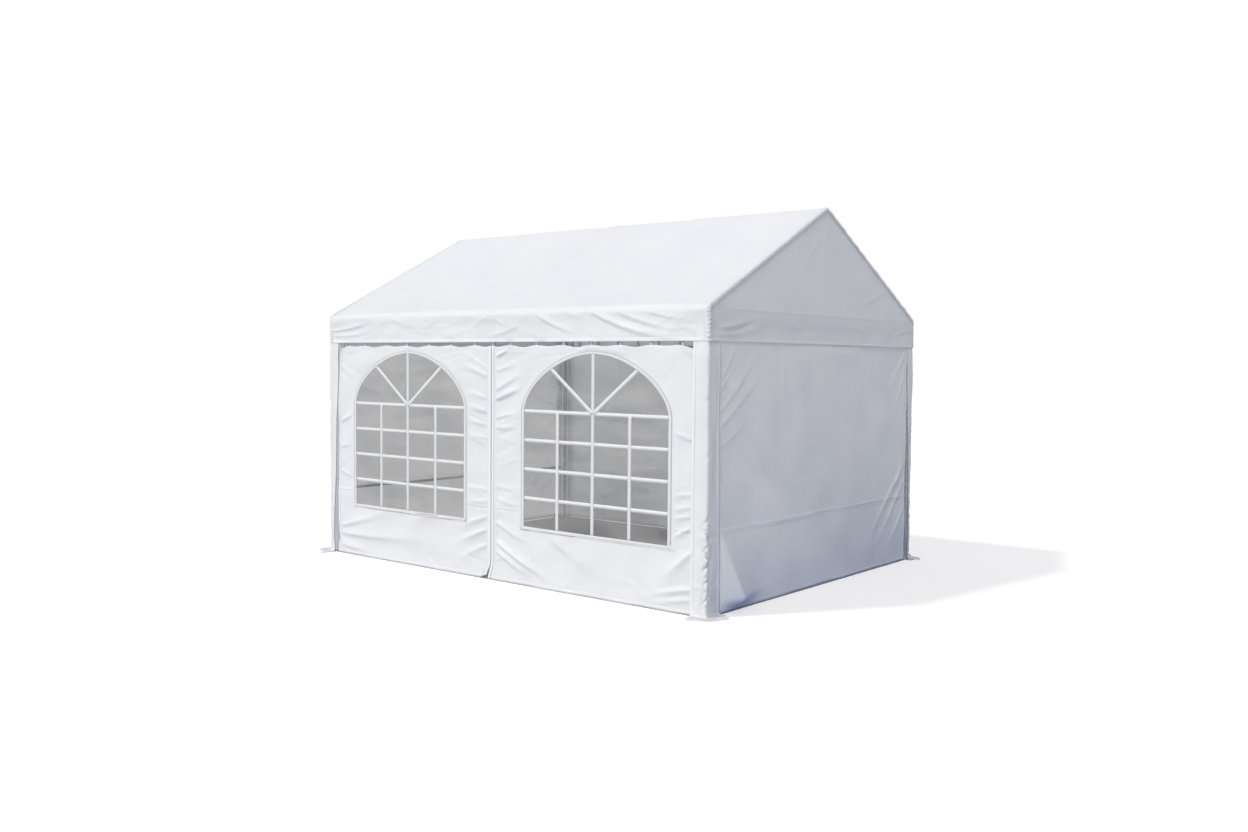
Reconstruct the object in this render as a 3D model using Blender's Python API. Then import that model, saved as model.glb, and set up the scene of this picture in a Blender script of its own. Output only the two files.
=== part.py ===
"""Marquee tent, 4 m long and 3 m wide: a frame of plug-together steel tubes under a white cloth cover.

X runs along the tent (left to right), -Y is the front with the arched windows, +Z is up.
The origin is on the ground at the middle of the tent. All sizes are in metres.
"""

import math

import bmesh
import bpy
from mathutils import Matrix, Vector

# Driving sizes, over the outside of the cloth.
LENGTH = 4.00
WIDTH = 3.04
RIDGE_TOP = 2.825
EAVE_CORNER = 2.045  # where the roof slope and the valance would meet if the eave were sharp
VALANCE_BOTTOM = 1.81

# Cloth and clearances.
CLOTH = 0.0015
FILM = 0.0010
GAP = 0.0003
LAYER_GAP = 0.00025

# Frame tubes and the sleeves that join them.
TUBE_RADIUS = 0.019
SLEEVE_RADIUS = 0.0225
SLEEVE_LENGTH = 0.080
STUB_LENGTH = 0.090
EAVE_BEND = 0.071
RIDGE_BEND = 0.050
TIE_BAR_HEIGHT = 1.947
TUBE_SIDES = 16
BEND_STEPS = 6

# Feet.
PLATE_SIDE = 0.140
PLATE_THICK = 0.004
PLATE_CORNER = 0.018
PLATE_SHIFT_CORNER = 0.014  # corner plates sit outwards, under the flap of the cover
PLATE_SHIFT_MIDDLE = -0.048  # middle plates sit inwards, behind the wall
PEG_HOLE_RADIUS = 0.006
PEG_HOLE_INSET = 0.022

# Walls and windows.
HEM_HEIGHT = 0.005
PANEL_TOP = 1.790
PANEL_PAST_LEG = 0.008  # how far a wall runs past the centreline of a corner leg
STRAP_WIDTH = 0.025
STRAP_ROOT = 0.030
STRAPS_PER_PANEL = 7
WINDOW_MIDDLES = {"left": -0.972, "right": 1.010}  # the two bays differ a little
WINDOW_WIDTH = 1.340
WINDOW_SILL = 0.440
WINDOW_TRANSOM = 1.300
WINDOW_TOP = 1.726
WINDOW_ARCH_STEPS = 24
FILM_LAP = 0.025
CUT_PAST = 0.010  # how far a cutter reaches past both faces of the cloth

# Corner covers: a strip folded round each corner leg, whose end lies out over the foot.
COVER_ARM = 0.150
COVER_FOLD_RADIUS = 0.012
COVER_FOLD_STEPS = 4
COVER_FLAP = 0.125  # how far the end lies out on the ground
COVER_HEM = 0.006
COVER_BEND = 0.022  # radius of the bend between the upright part and the flap
COVER_BEND_STEPS = 4

GABLE_TRIANGLE_BOTTOM = 1.950
GABLE_VALANCE_TOP = 2.035

# Places that follow from the sizes above.
CLOTH_TO_AXIS = SLEEVE_RADIUS + GAP + CLOTH  # from the outer cloth to the tube's centreline
LEG_Y = WIDTH / 2 - CLOTH_TO_AXIS
GABLE_LAYERS = SLEEVE_RADIUS + GAP + CLOTH + GAP + CLOTH + 0.0005
LEG_X = LENGTH / 2 - GABLE_LAYERS
WALL_Y = LEG_Y + TUBE_RADIUS + GAP
END_WALL_X = LEG_X + TUBE_RADIUS + GAP
EAVE_OUTER = EAVE_BEND + CLOTH_TO_AXIS
RIDGE_OUTER = RIDGE_BEND + CLOTH_TO_AXIS


def roof_angle():
    """Slope of the roof, found from the rounded ridge top and the eave corner."""
    angle = math.atan2(RIDGE_TOP - EAVE_CORNER, WIDTH / 2)
    for _ in range(20):
        sharp_ridge = RIDGE_TOP + RIDGE_OUTER * (1 / math.cos(angle) - 1)
        angle = math.atan2(sharp_ridge - EAVE_CORNER, WIDTH / 2)
    return angle


SLOPE = roof_angle()
TURN = math.pi / 2 - SLOPE  # how far the cloth turns at the eave
EAVE_CENTRE_Y = WIDTH / 2 - EAVE_OUTER
EAVE_CENTRE_Z = EAVE_CORNER - EAVE_OUTER * math.tan(TURN / 2)
RIDGE_CENTRE_Z = RIDGE_TOP - RIDGE_OUTER
EAVE_BAR_Y = EAVE_CENTRE_Y + EAVE_BEND * math.cos(TURN / 2)
EAVE_BAR_Z = EAVE_CENTRE_Z + EAVE_BEND * math.sin(TURN / 2)
RIDGE_BAR_Z = RIDGE_CENTRE_Z + RIDGE_BEND
LEG_TOP = EAVE_CENTRE_Z - SLEEVE_LENGTH
UP_SLOPE = Vector((0, -math.cos(SLOPE), math.sin(SLOPE)))  # from the back eave towards the ridge


def clear_scene():
    for obj in list(bpy.data.objects):
        bpy.data.objects.remove(obj)


def material(name, colour, roughness, metallic=0.0, alpha=1.0):
    made = bpy.data.materials.new(name)
    made.use_nodes = True
    shader = made.node_tree.nodes["Principled BSDF"]
    shader.inputs["Base Color"].default_value = (*colour, 1.0)
    shader.inputs["Roughness"].default_value = roughness
    shader.inputs["Metallic"].default_value = metallic
    shader.inputs["Alpha"].default_value = alpha
    return made


def add_object(name, bm, finish):
    """A bmesh becomes a named object, with its faces pointing out and round sides shaded smooth."""
    bmesh.ops.recalc_face_normals(bm, faces=bm.faces)
    mesh = bpy.data.meshes.new(name)
    bm.to_mesh(mesh)
    bm.free()
    mesh.shade_smooth()
    mesh.set_sharp_from_angle(angle=math.radians(35))
    mesh.materials.append(finish)
    obj = bpy.data.objects.new(name, mesh)
    bpy.context.scene.collection.objects.link(obj)
    return obj


def as_helper(obj):
    obj.hide_render = True
    obj.display_type = "WIRE"
    return obj


def boolean(obj, other, operation):
    made = obj.modifiers.new(operation.lower(), "BOOLEAN")
    made.operation = operation
    made.solver = "EXACT"
    made.object = as_helper(other)


# Tubes, sleeves and feet.


def ring(bm, centre, direction, radius, cap=False):
    """A circle of vertices square to a direction. Returns its edges."""
    turn = Vector(direction).to_track_quat("Z", "X").to_matrix().to_4x4()
    made = bmesh.ops.create_circle(
        bm,
        cap_ends=cap,
        segments=TUBE_SIDES,
        radius=radius,
        matrix=Matrix.Translation(centre) @ turn,
    )
    return list({edge for vert in made["verts"] for edge in vert.link_edges})


def swept_tube(stations, radius):
    """A bar that passes through (place, direction) stations, closed at both ends."""
    bm = bmesh.new()
    last = len(stations) - 1
    rings = [
        ring(bm, place, direction, radius, cap=i in (0, last))
        for i, (place, direction) in enumerate(stations)
    ]
    for one, two in zip(rings, rings[1:]):
        bmesh.ops.bridge_loops(bm, edges=one + two)
    return bm


def straight_tube(start, end, radius):
    start, end = Vector(start), Vector(end)
    return swept_tube([(start, end - start), (end, end - start)], radius)


def mirrored(bm, axes):
    """Scales a bmesh by -1 along the named axes."""
    scale = Vector([-1.0 if axis in axes else 1.0 for axis in "xyz"])
    bmesh.ops.scale(bm, verts=bm.verts, vec=scale)
    if len(axes) % 2:
        bmesh.ops.reverse_faces(bm, faces=bm.faces)
    return bm


def slab(low, high):
    """A plain box between two corners."""
    bm = bmesh.new()
    low, high = Vector(low), Vector(high)
    middle = Matrix.Translation((low + high) / 2)
    bmesh.ops.create_cube(bm, size=1.0, matrix=middle @ Matrix.Diagonal((*(high - low), 1.0)))
    return bm


def make_leg(name, x, y, plate_shift_x, plate_shift_y, finish):
    """An upright tube welded to its foot plate, which has two peg holes."""
    upright = straight_tube((x, y, PLATE_THICK / 2), (x, y, LEG_TOP - GAP), TUBE_RADIUS)
    leg = add_object(name, upright, finish)
    half = PLATE_SIDE / 2
    centre = Vector((x + plate_shift_x, y + plate_shift_y, 0))
    plate_mesh = slab(centre - Vector((half, half, 0)), centre + Vector((half, half, PLATE_THICK)))
    uprights = [e for e in plate_mesh.edges if abs((e.verts[0].co - e.verts[1].co).z) > PLATE_THICK / 2]
    bmesh.ops.bevel(
        plate_mesh,
        geom=uprights,
        offset=PLATE_CORNER,
        segments=4,
        profile=0.5,
        affect="EDGES",
        material=-1,
    )
    boolean(leg, add_object(name + ".plate", plate_mesh, finish), "UNION")
    for side in (-1, 1):
        hole = centre + Vector((side, side * math.copysign(1, x * y or 1), 0)) * (half - PEG_HOLE_INSET)
        cutter = straight_tube(hole - Vector((0, 0, 0.01)), hole + Vector((0, 0, 0.02)), PEG_HOLE_RADIUS)
        boolean(leg, add_object(f"{name}.peg_hole.{side}", cutter, finish), "DIFFERENCE")
    return leg


def eave_sleeve_stations():
    """The bent sleeve at the back eave, from the leg's top, round the bend and up the slope."""
    centre = Vector((0, EAVE_CENTRE_Y, EAVE_CENTRE_Z))
    stations = [(centre + Vector((0, EAVE_BEND, -SLEEVE_LENGTH)), Vector((0, 0, 1)))]
    for step in range(BEND_STEPS + 1):
        angle = TURN * step / BEND_STEPS
        out = Vector((0, math.cos(angle), math.sin(angle)))
        along = Vector((0, -math.sin(angle), math.cos(angle)))
        stations.append((centre + out * EAVE_BEND, along))
    stations.append((stations[-1][0] + UP_SLOPE * SLEEVE_LENGTH, UP_SLOPE))
    return stations


def ridge_sleeve_stations():
    """The bent sleeve over the ridge, from the back slope to the front one."""
    centre = Vector((0, 0, RIDGE_CENTRE_Z))
    stations = []
    for step in range(BEND_STEPS + 1):
        angle = TURN + 2 * SLOPE * step / BEND_STEPS
        out = Vector((0, math.cos(angle), math.sin(angle)))
        along = Vector((0, -math.sin(angle), math.cos(angle)))
        stations.append((centre + out * RIDGE_BEND, along))
    first, last = stations[0], stations[-1]
    return (
        [(first[0] - first[1] * SLEEVE_LENGTH, first[1])]
        + stations
        + [(last[0] + last[1] * SLEEVE_LENGTH, last[1])]
    )


def add_stubs(obj, centre, directions, finish):
    """Straight sockets that stand out of a bent sleeve."""
    for i, direction in enumerate(directions):
        end = Vector(centre) + Vector(direction) * STUB_LENGTH
        stub = straight_tube(centre, end, SLEEVE_RADIUS)
        boolean(obj, add_object(f"{obj.name}.stub.{i}", stub, finish), "UNION")


def placed_stations(stations, x, front):
    """Moves a truss's stations to its place along the tent, and mirrors them for the front."""
    side = -1 if front else 1
    return [
        (Vector((x, place.y * side, place.z)), Vector((0, along.y * side, along.z)))
        for place, along in stations
    ]


def make_eave_connector(name, x, front, finish):
    """Joins a leg, a rafter, the eave bars beside it and, at an end truss, the gable's tie bar."""
    side = -1 if front else 1
    stations = placed_stations(eave_sleeve_stations(), x, front)
    connector = add_object(name, swept_tube(stations, SLEEVE_RADIUS), finish)
    along_tent = [(-1, 0, 0), (1, 0, 0)] if x == 0 else [(-math.copysign(1, x), 0, 0)]
    add_stubs(connector, (x, side * EAVE_BAR_Y, EAVE_BAR_Z), along_tent, finish)
    if x != 0:
        tie = straight_tube(
            (x, side * LEG_Y, TIE_BAR_HEIGHT),
            (x, side * (LEG_Y - STUB_LENGTH), TIE_BAR_HEIGHT),
            SLEEVE_RADIUS,
        )
        boolean(connector, add_object(name + ".tie_stub", tie, finish), "UNION")
    return connector


def make_ridge_connector(name, x, finish):
    stations = placed_stations(ridge_sleeve_stations(), x, False)
    connector = add_object(name, swept_tube(stations, SLEEVE_RADIUS), finish)
    along_tent = [(-1, 0, 0), (1, 0, 0)] if x == 0 else [(-math.copysign(1, x), 0, 0)]
    add_stubs(connector, (x, 0, RIDGE_BAR_Z), along_tent, finish)
    return connector


def make_rafter(name, x, front, finish):
    """A straight tube between the eave sleeve and the ridge sleeve."""
    low = eave_sleeve_stations()[-1][0]
    high = ridge_sleeve_stations()[0][0]
    ends = placed_stations([(low + UP_SLOPE * GAP, UP_SLOPE), (high - UP_SLOPE * GAP, UP_SLOPE)], x, front)
    return add_object(name, swept_tube(ends, TUBE_RADIUS), finish)


def make_long_bar(name, side_of_middle, y, z, finish):
    """An eave or ridge bar from a middle connector to an end one."""
    near = STUB_LENGTH + GAP
    far = LEG_X - STUB_LENGTH - GAP
    start, end = sorted((side_of_middle * near, side_of_middle * far))
    return add_object(name, straight_tube((start, y, z), (end, y, z), TUBE_RADIUS), finish)


def make_frame(steel):
    for end, x in (("left", -LEG_X), ("middle", 0), ("right", LEG_X)):
        outwards_x = 0 if x == 0 else math.copysign(PLATE_SHIFT_CORNER, x)
        shift = PLATE_SHIFT_MIDDLE if x == 0 else PLATE_SHIFT_CORNER
        for face, side in (("front", -1), ("back", 1)):
            where = f"{face}_{end}"
            make_leg(f"leg_{where}", x, side * LEG_Y, outwards_x, side * shift, steel)
            make_eave_connector(f"eave_connector_{where}", x, side < 0, steel)
            make_rafter(f"rafter_{where}", x, side < 0, steel)
        make_ridge_connector(f"ridge_connector_{end}", x, steel)
    for end, direction in (("left", -1), ("right", 1)):
        make_long_bar(f"eave_bar_front_{end}", direction, -EAVE_BAR_Y, EAVE_BAR_Z, steel)
        make_long_bar(f"eave_bar_back_{end}", direction, EAVE_BAR_Y, EAVE_BAR_Z, steel)
        make_long_bar(f"ridge_bar_{end}", direction, 0, RIDGE_BAR_Z, steel)
        reach = LEG_Y - STUB_LENGTH - GAP
        x = direction * LEG_X
        tie = straight_tube((x, -reach, TIE_BAR_HEIGHT), (x, reach, TIE_BAR_HEIGHT), TUBE_RADIUS)
        add_object(f"gable_tie_bar_{end}", tie, steel)


# Cloth: the roof cover and the gables.


def arc(centre, radius, start, end, steps):
    """Points (y, z) on a round stretch of the roof's section."""
    angles = [start + (end - start) * i / steps for i in range(steps + 1)]
    return [(centre[0] + radius * math.cos(a), centre[1] + radius * math.sin(a)) for a in angles]


def roof_section(inset):
    """The roof's section in (y, z), from the back valance's hem to the front one's."""
    eave = arc((EAVE_CENTRE_Y, EAVE_CENTRE_Z), EAVE_OUTER - inset, 0, TURN, 8)
    ridge_half = arc((0, RIDGE_CENTRE_Z), RIDGE_OUTER - inset, TURN, math.pi / 2, 5)
    back = [(WIDTH / 2 - inset, VALANCE_BOTTOM)] + eave + ridge_half
    return back + [(-y, z) for y, z in reversed(back[:-1])]


def extruded(points, vector):
    """A closed outline of 3-D points, filled and pushed along a vector."""
    bm = bmesh.new()
    face = bm.faces.new([bm.verts.new(p) for p in points])
    grown = bmesh.ops.extrude_face_region(bm, geom=[face])["geom"]
    moved = [item for item in grown if isinstance(item, bmesh.types.BMVert)]
    bmesh.ops.translate(bm, verts=moved, vec=vector)
    return bm


def make_roof_cover(white):
    outline = roof_section(0) + roof_section(CLOTH)[::-1]
    corners = [(-LENGTH / 2, y, z) for y, z in outline]
    return add_object("roof_cover", extruded(corners, (LENGTH, 0, 0)), white)


def make_gable(end, direction, white):
    """The triangle that closes a gable, and the valance strip sewn over its foot."""
    inner = LEG_X + SLEEVE_RADIUS + GAP
    under_roof = [(y, z) for y, z in roof_section(CLOTH + GAP) if z > GABLE_TRIANGLE_BOTTOM]
    half = WIDTH / 2 - CLOTH - GAP
    outline = [(half, GABLE_TRIANGLE_BOTTOM)] + under_roof + [(-half, GABLE_TRIANGLE_BOTTOM)]
    corners = [(direction * inner, y, z) for y, z in outline]
    add_object(f"gable_triangle_{end}", extruded(corners, (direction * CLOTH, 0, 0)), white)
    section = roof_section(CLOTH + GAP)
    under_eave = [(y, z) for y, z in section if EAVE_CENTRE_Z <= z < GABLE_VALANCE_TOP]
    back = [(y, z) for y, z in under_eave if y > 0]
    front = [(y, z) for y, z in under_eave if y < 0]
    strip = [(half, VALANCE_BOTTOM)] + back + front + [(-half, VALANCE_BOTTOM)]
    start = inner + CLOTH + GAP
    corners = [(direction * start, y, z) for y, z in strip]
    add_object(f"gable_valance_{end}", extruded(corners, (direction * CLOTH, 0, 0)), white)


# Cloth: the walls.


def window_outline(middle, lap):
    """The arched window's outline in (x, z), grown by lap all round."""
    half = WINDOW_WIDTH / 2 + lap
    rise = WINDOW_TOP - WINDOW_TRANSOM + lap
    outline = [(middle - half, WINDOW_SILL - lap), (middle + half, WINDOW_SILL - lap)]
    for step in range(WINDOW_ARCH_STEPS + 1):
        angle = math.pi * step / WINDOW_ARCH_STEPS
        outline.append((middle + half * math.cos(angle), WINDOW_TRANSOM + rise * math.sin(angle)))
    return outline


def hanging_straps(start_x, end_x, side):
    """Short straps that hang a wall panel from the eave bar above it."""
    root_y = WALL_Y + CLOTH / 2
    top_z = EAVE_BAR_Z - TUBE_RADIUS - GAP
    lean = Vector((0, (EAVE_BAR_Y - root_y) * side, top_z - (PANEL_TOP - STRAP_ROOT)))
    pitch = (end_x - start_x) / STRAPS_PER_PANEL
    bm = bmesh.new()
    for i in range(STRAPS_PER_PANEL):
        middle = start_x + pitch * (i + 0.5)
        low = Vector((middle - STRAP_WIDTH / 2, root_y * side - CLOTH / 2, PANEL_TOP - STRAP_ROOT))
        corners = [low, low + Vector((STRAP_WIDTH, 0, 0))]
        corners += [corners[1] + Vector((0, CLOTH, 0)), low + Vector((0, CLOTH, 0))]
        face = bm.faces.new([bm.verts.new(c) for c in corners])
        grown = bmesh.ops.extrude_face_region(bm, geom=[face])["geom"]
        moved = [item for item in grown if isinstance(item, bmesh.types.BMVert)]
        bmesh.ops.translate(bm, verts=moved, vec=lean)
    return bm


def make_side_panel(face, end, direction, side, white):
    """One bay of a long wall: a sheet on straps, between the seam at the middle and a corner leg."""
    name = f"{face}_panel_{end}"
    start, finish = sorted((direction * GAP, direction * (LEG_X + PANEL_PAST_LEG)))
    near, far = sorted((side * WALL_Y, side * (WALL_Y + CLOTH)))
    panel = add_object(name, slab((start, near, HEM_HEIGHT), (finish, far, PANEL_TOP)), white)
    first, last = sorted((direction * STUB_LENGTH, direction * (LEG_X - STUB_LENGTH)))
    straps = add_object(name + ".straps", hanging_straps(first, last, side), white)
    boolean(panel, straps, "UNION")
    return panel


def make_window(panel, end, side, clear):
    """An arched hole through a panel, with a sheet of clear film behind it."""
    middle = WINDOW_MIDDLES[end]
    start = Vector((0, side * (WALL_Y - CUT_PAST), 0))
    hole = [start + Vector((x, 0, z)) for x, z in window_outline(middle, 0)]
    cutter = extruded(hole, (0, side * (CLOTH + 2 * CUT_PAST), 0))
    boolean(panel, add_object(panel.name + ".hole", cutter, clear), "DIFFERENCE")
    film = [(x, side * (WALL_Y - GAP), z) for x, z in window_outline(middle, FILM_LAP)]
    add_object(f"window_film_{end}", extruded(film, (0, -side * FILM, 0)), clear)


def make_end_wall(end, direction, white):
    """The whole gable end below the eaves. Its middle part goes up to the tie bar that it hangs on."""
    half = LEG_Y + PANEL_PAST_LEG
    hung = LEG_Y - STUB_LENGTH - GAP
    shoulder = LEG_TOP - GAP
    outline = [(-half, HEM_HEIGHT), (half, HEM_HEIGHT), (half, shoulder), (hung, shoulder)]
    outline += [(hung, TIE_BAR_HEIGHT), (-hung, TIE_BAR_HEIGHT), (-hung, shoulder), (-half, shoulder)]
    corners = [(direction * END_WALL_X, y, z) for y, z in outline]
    add_object(f"end_wall_{end}", extruded(corners, (direction * CLOTH, 0, 0)), white)


def cover_profile(grow):
    """Plan of a corner cover at the back right corner, in (x, y), moved outwards by grow."""
    reach_x = END_WALL_X + CLOTH + LAYER_GAP + grow
    reach_y = WALL_Y + CLOTH + LAYER_GAP + grow
    radius = COVER_FOLD_RADIUS + grow
    centre = Vector((reach_x - radius, reach_y - radius))
    angles = [math.pi / 2 * i / COVER_FOLD_STEPS for i in range(COVER_FOLD_STEPS + 1)]
    fold = [centre + Vector((math.cos(a), math.sin(a))) * radius for a in angles]
    side_end = Vector((reach_x, LEG_Y + TUBE_RADIUS - COVER_ARM))
    front_end = Vector((LEG_X + TUBE_RADIUS - COVER_ARM, reach_y))
    return [side_end] + fold + [front_end]


def cover_rows():
    """How far out and how high the cover's rows lie, from the flap's edge, round the bend, to the top."""
    angles = [math.pi / 2 * i / COVER_BEND_STEPS for i in range(COVER_BEND_STEPS + 1)]
    bend = [
        (COVER_BEND * (1 - math.sin(a)), COVER_HEM + COVER_BEND * (1 - math.cos(a)))
        for a in angles
    ]
    return [(COVER_FLAP, COVER_HEM)] + bend + [(0, LEG_TOP - GAP)]


def make_corner_cover(name, direction, side, white):
    """A strip of cloth folded round a corner leg, from behind the valances to the ground."""
    bm = bmesh.new()
    rows = []
    for out, z in cover_rows():
        row = [bm.verts.new((p.x, p.y, z)) for p in cover_profile(out)]
        rows.append([bm.edges.new(pair) for pair in zip(row, row[1:])])
    for lower, upper in zip(rows, rows[1:]):
        bmesh.ops.bridge_loops(bm, edges=lower + upper)
    bmesh.ops.recalc_face_normals(bm, faces=bm.faces)
    outward = max(bm.faces, key=lambda f: f.calc_center_median().z).normal
    if outward.x + outward.y < 0:
        bmesh.ops.reverse_faces(bm, faces=bm.faces)
    bmesh.ops.solidify(bm, geom=bm.faces, thickness=-CLOTH)
    axes = ("x" if direction < 0 else "") + ("y" if side < 0 else "")
    return add_object(name, mirrored(bm, axes), white)


def make_cloth(white, clear):
    make_roof_cover(white)
    for end, direction in (("left", -1), ("right", 1)):
        make_gable(end, direction, white)
        make_end_wall(end, direction, white)
        for face, side in (("front", -1), ("back", 1)):
            panel = make_side_panel(face, end, direction, side, white)
            if face == "front":
                make_window(panel, end, side, clear)
            make_corner_cover(f"corner_cover_{face}_{end}", direction, side, white)


clear_scene()
galvanised = material("galvanised_steel", (0.62, 0.63, 0.64), 0.42, metallic=0.9)
white_cloth = material("white_cloth", (0.90, 0.91, 0.92), 0.55)
clear_film = material("clear_film", (0.78, 0.80, 0.80), 0.12, alpha=0.35)
make_frame(galvanised)
make_cloth(white_cloth, clear_film)
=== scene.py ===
import math

import bmesh
import bpy
import numpy as np
from mathutils import Matrix, Vector


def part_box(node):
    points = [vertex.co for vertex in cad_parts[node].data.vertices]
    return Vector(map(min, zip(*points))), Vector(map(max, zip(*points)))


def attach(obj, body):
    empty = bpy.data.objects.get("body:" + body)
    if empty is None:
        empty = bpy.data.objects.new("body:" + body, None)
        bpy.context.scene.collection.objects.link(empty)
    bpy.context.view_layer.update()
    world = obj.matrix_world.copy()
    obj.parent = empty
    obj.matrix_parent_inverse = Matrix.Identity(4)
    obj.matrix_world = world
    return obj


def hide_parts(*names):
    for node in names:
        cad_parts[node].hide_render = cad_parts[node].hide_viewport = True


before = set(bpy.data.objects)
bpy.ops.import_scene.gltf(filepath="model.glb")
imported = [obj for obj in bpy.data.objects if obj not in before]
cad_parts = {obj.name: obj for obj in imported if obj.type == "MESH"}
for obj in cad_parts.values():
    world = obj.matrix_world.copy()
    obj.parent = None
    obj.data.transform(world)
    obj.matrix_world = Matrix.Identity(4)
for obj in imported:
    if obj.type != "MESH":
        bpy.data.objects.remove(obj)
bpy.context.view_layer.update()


# Camera. It stands off the front right corner at eye height and looks along the front, as the
# photograph does.
PHOTO_WIDTH = 1248  # pixels
FOCAL_PIXELS = 1127.5
SENSOR_WIDTH = 36.0  # millimetres
CAMERA_PLACE = Vector((6.167, -7.513, 1.668))
CAMERA_YAW = math.radians(39.100)
CAMERA_PITCH = math.radians(-2.739)
CAMERA_ROLL = math.radians(0.507)


def make_camera():
    ahead = Vector((
        -math.sin(CAMERA_YAW) * math.cos(CAMERA_PITCH),
        math.cos(CAMERA_YAW) * math.cos(CAMERA_PITCH),
        math.sin(CAMERA_PITCH),
    ))
    level_right = ahead.cross(Vector((0, 0, 1))).normalized()
    level_up = level_right.cross(ahead)
    right = level_right * math.cos(CAMERA_ROLL) + level_up * math.sin(CAMERA_ROLL)
    up = level_up * math.cos(CAMERA_ROLL) - level_right * math.sin(CAMERA_ROLL)
    data = bpy.data.cameras.new("camera")
    data.sensor_width = SENSOR_WIDTH
    data.lens = FOCAL_PIXELS * SENSOR_WIDTH / PHOTO_WIDTH
    data.clip_end = 200
    camera = bpy.data.objects.new("camera", data)
    turn = Matrix((right, up, -ahead)).transposed().to_4x4()
    camera.matrix_world = Matrix.Translation(CAMERA_PLACE) @ turn
    bpy.context.scene.collection.objects.link(camera)
    bpy.context.scene.camera = camera


make_camera()


# Steel frame. Round galvanised tubes of 38 mm plug into sleeves, and each leg is welded to a flat foot
# plate. The tubes keep their shape and get a rounded look, and zinc with its dull spangle and scuffs.
ZINC_LIGHT = (0.62, 0.64, 0.66, 1)
ZINC_DARK = (0.43, 0.45, 0.48, 1)
ZINC_ROUGH = (0.32, 0.50)
ZINC_METAL = 0.85
SPANGLES_PER_METRE = 70
SCUFFS_PER_METRE = 240
ROUND_EDGE_ANGLE = math.radians(35)
SAME_PLACE = 0.00002
FRAME_NODES = ("leg_", "eave_", "rafter_", "ridge_", "gable_tie_bar_")


def add_node(tree, kind, inputs=None, **settings):
    """A shader node with its settings. Its inputs are values, other nodes or their outputs."""
    made = tree.nodes.new("ShaderNode" + kind)
    for name, value in settings.items():
        setattr(made, name, value)
    for socket, value in (inputs or {}).items():
        if isinstance(value, bpy.types.Node):
            value = value.outputs[0]
        if isinstance(value, bpy.types.NodeSocket):
            tree.links.new(value, made.inputs[socket])
        else:
            made.inputs[socket].default_value = value
    return made


def reckon(tree, operation, one, two=0.0):
    return add_node(tree, "Math", {0: one, 1: two}, operation=operation)


def noise(tree, place, scale, detail=2.0, rough=0.5):
    inputs = {"Vector": place, "Scale": scale, "Detail": detail, "Roughness": rough}
    return add_node(tree, "TexNoise", inputs)


def spread(tree, value, of=(0.0, 1.0), to=(0.0, 1.0)):
    """A value from one range, stretched onto another."""
    inputs = {"Value": value, "From Min": of[0], "From Max": of[1], "To Min": to[0], "To Max": to[1]}
    return add_node(tree, "MapRange", inputs)


def mixed(tree, share, one, two):
    return add_node(tree, "Mix", {0: share, 6: one, 7: two}, data_type="RGBA").outputs[2]


def bumps(tree, height, strength, distance, **coarser):
    """The surface's direction with a pattern raised on it, on top of a coarser Normal if one is given."""
    inputs = {"Height": height, "Strength": strength, "Distance": distance, **coarser}
    return add_node(tree, "Bump", inputs)


def new_finish(name):
    """An empty material and its node tree."""
    finish = bpy.data.materials.new(name)
    finish.use_nodes = True
    finish.node_tree.nodes.clear()
    return finish, finish.node_tree


def finished(finish, shader):
    """The material with the shader as its surface."""
    add_node(finish.node_tree, "OutputMaterial", {"Surface": shader})
    return finish


def galvanised_finish():
    finish, tree = new_finish("galvanised_zinc")
    place = add_node(tree, "TexCoord").outputs["Object"]
    spangle = add_node(tree, "TexVoronoi", {"Vector": place, "Scale": SPANGLES_PER_METRE})
    scuffs = noise(tree, place, SCUFFS_PER_METRE)
    shade = spread(tree, spangle.outputs["Color"])
    return finished(finish, add_node(tree, "BsdfPrincipled", {
        "Base Color": mixed(tree, shade, ZINC_DARK, ZINC_LIGHT),
        "Roughness": spread(tree, scuffs, to=ZINC_ROUGH),
        "Metallic": ZINC_METAL,
        "Normal": bumps(tree, scuffs, 0.2, 0.0002),
    }))


def show(name, bm, finish):
    """The modelled shape becomes an object of the scene."""
    mesh = bpy.data.meshes.new(name)
    bm.to_mesh(mesh)
    bm.free()
    mesh.materials.append(finish)
    piece = bpy.data.objects.new(name, mesh)
    bpy.context.scene.collection.objects.link(piece)
    return piece


def belongs(piece, slot, *nodes):
    """The piece stands on the tent's one body and stands for these frame nodes, which are hidden. The slot
    is not used.
    """
    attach(piece, "root")
    if nodes:
        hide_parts(*nodes)
    return piece


def make_steel_frame():
    zinc = galvanised_finish()
    for name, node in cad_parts.items():
        if not name.startswith(FRAME_NODES):
            continue
        bm = bmesh.new()
        bm.from_mesh(node.data)
        bmesh.ops.remove_doubles(bm, verts=bm.verts, dist=SAME_PLACE)
        for face in bm.faces:
            face.smooth = True
        for edge in bm.edges:
            edge.smooth = edge.calc_face_angle(math.pi) < ROUND_EDGE_ANGLE
        belongs(show(f"{name}_zinc", bm, zinc), "galvanised_steel", name)


make_steel_frame()


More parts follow.
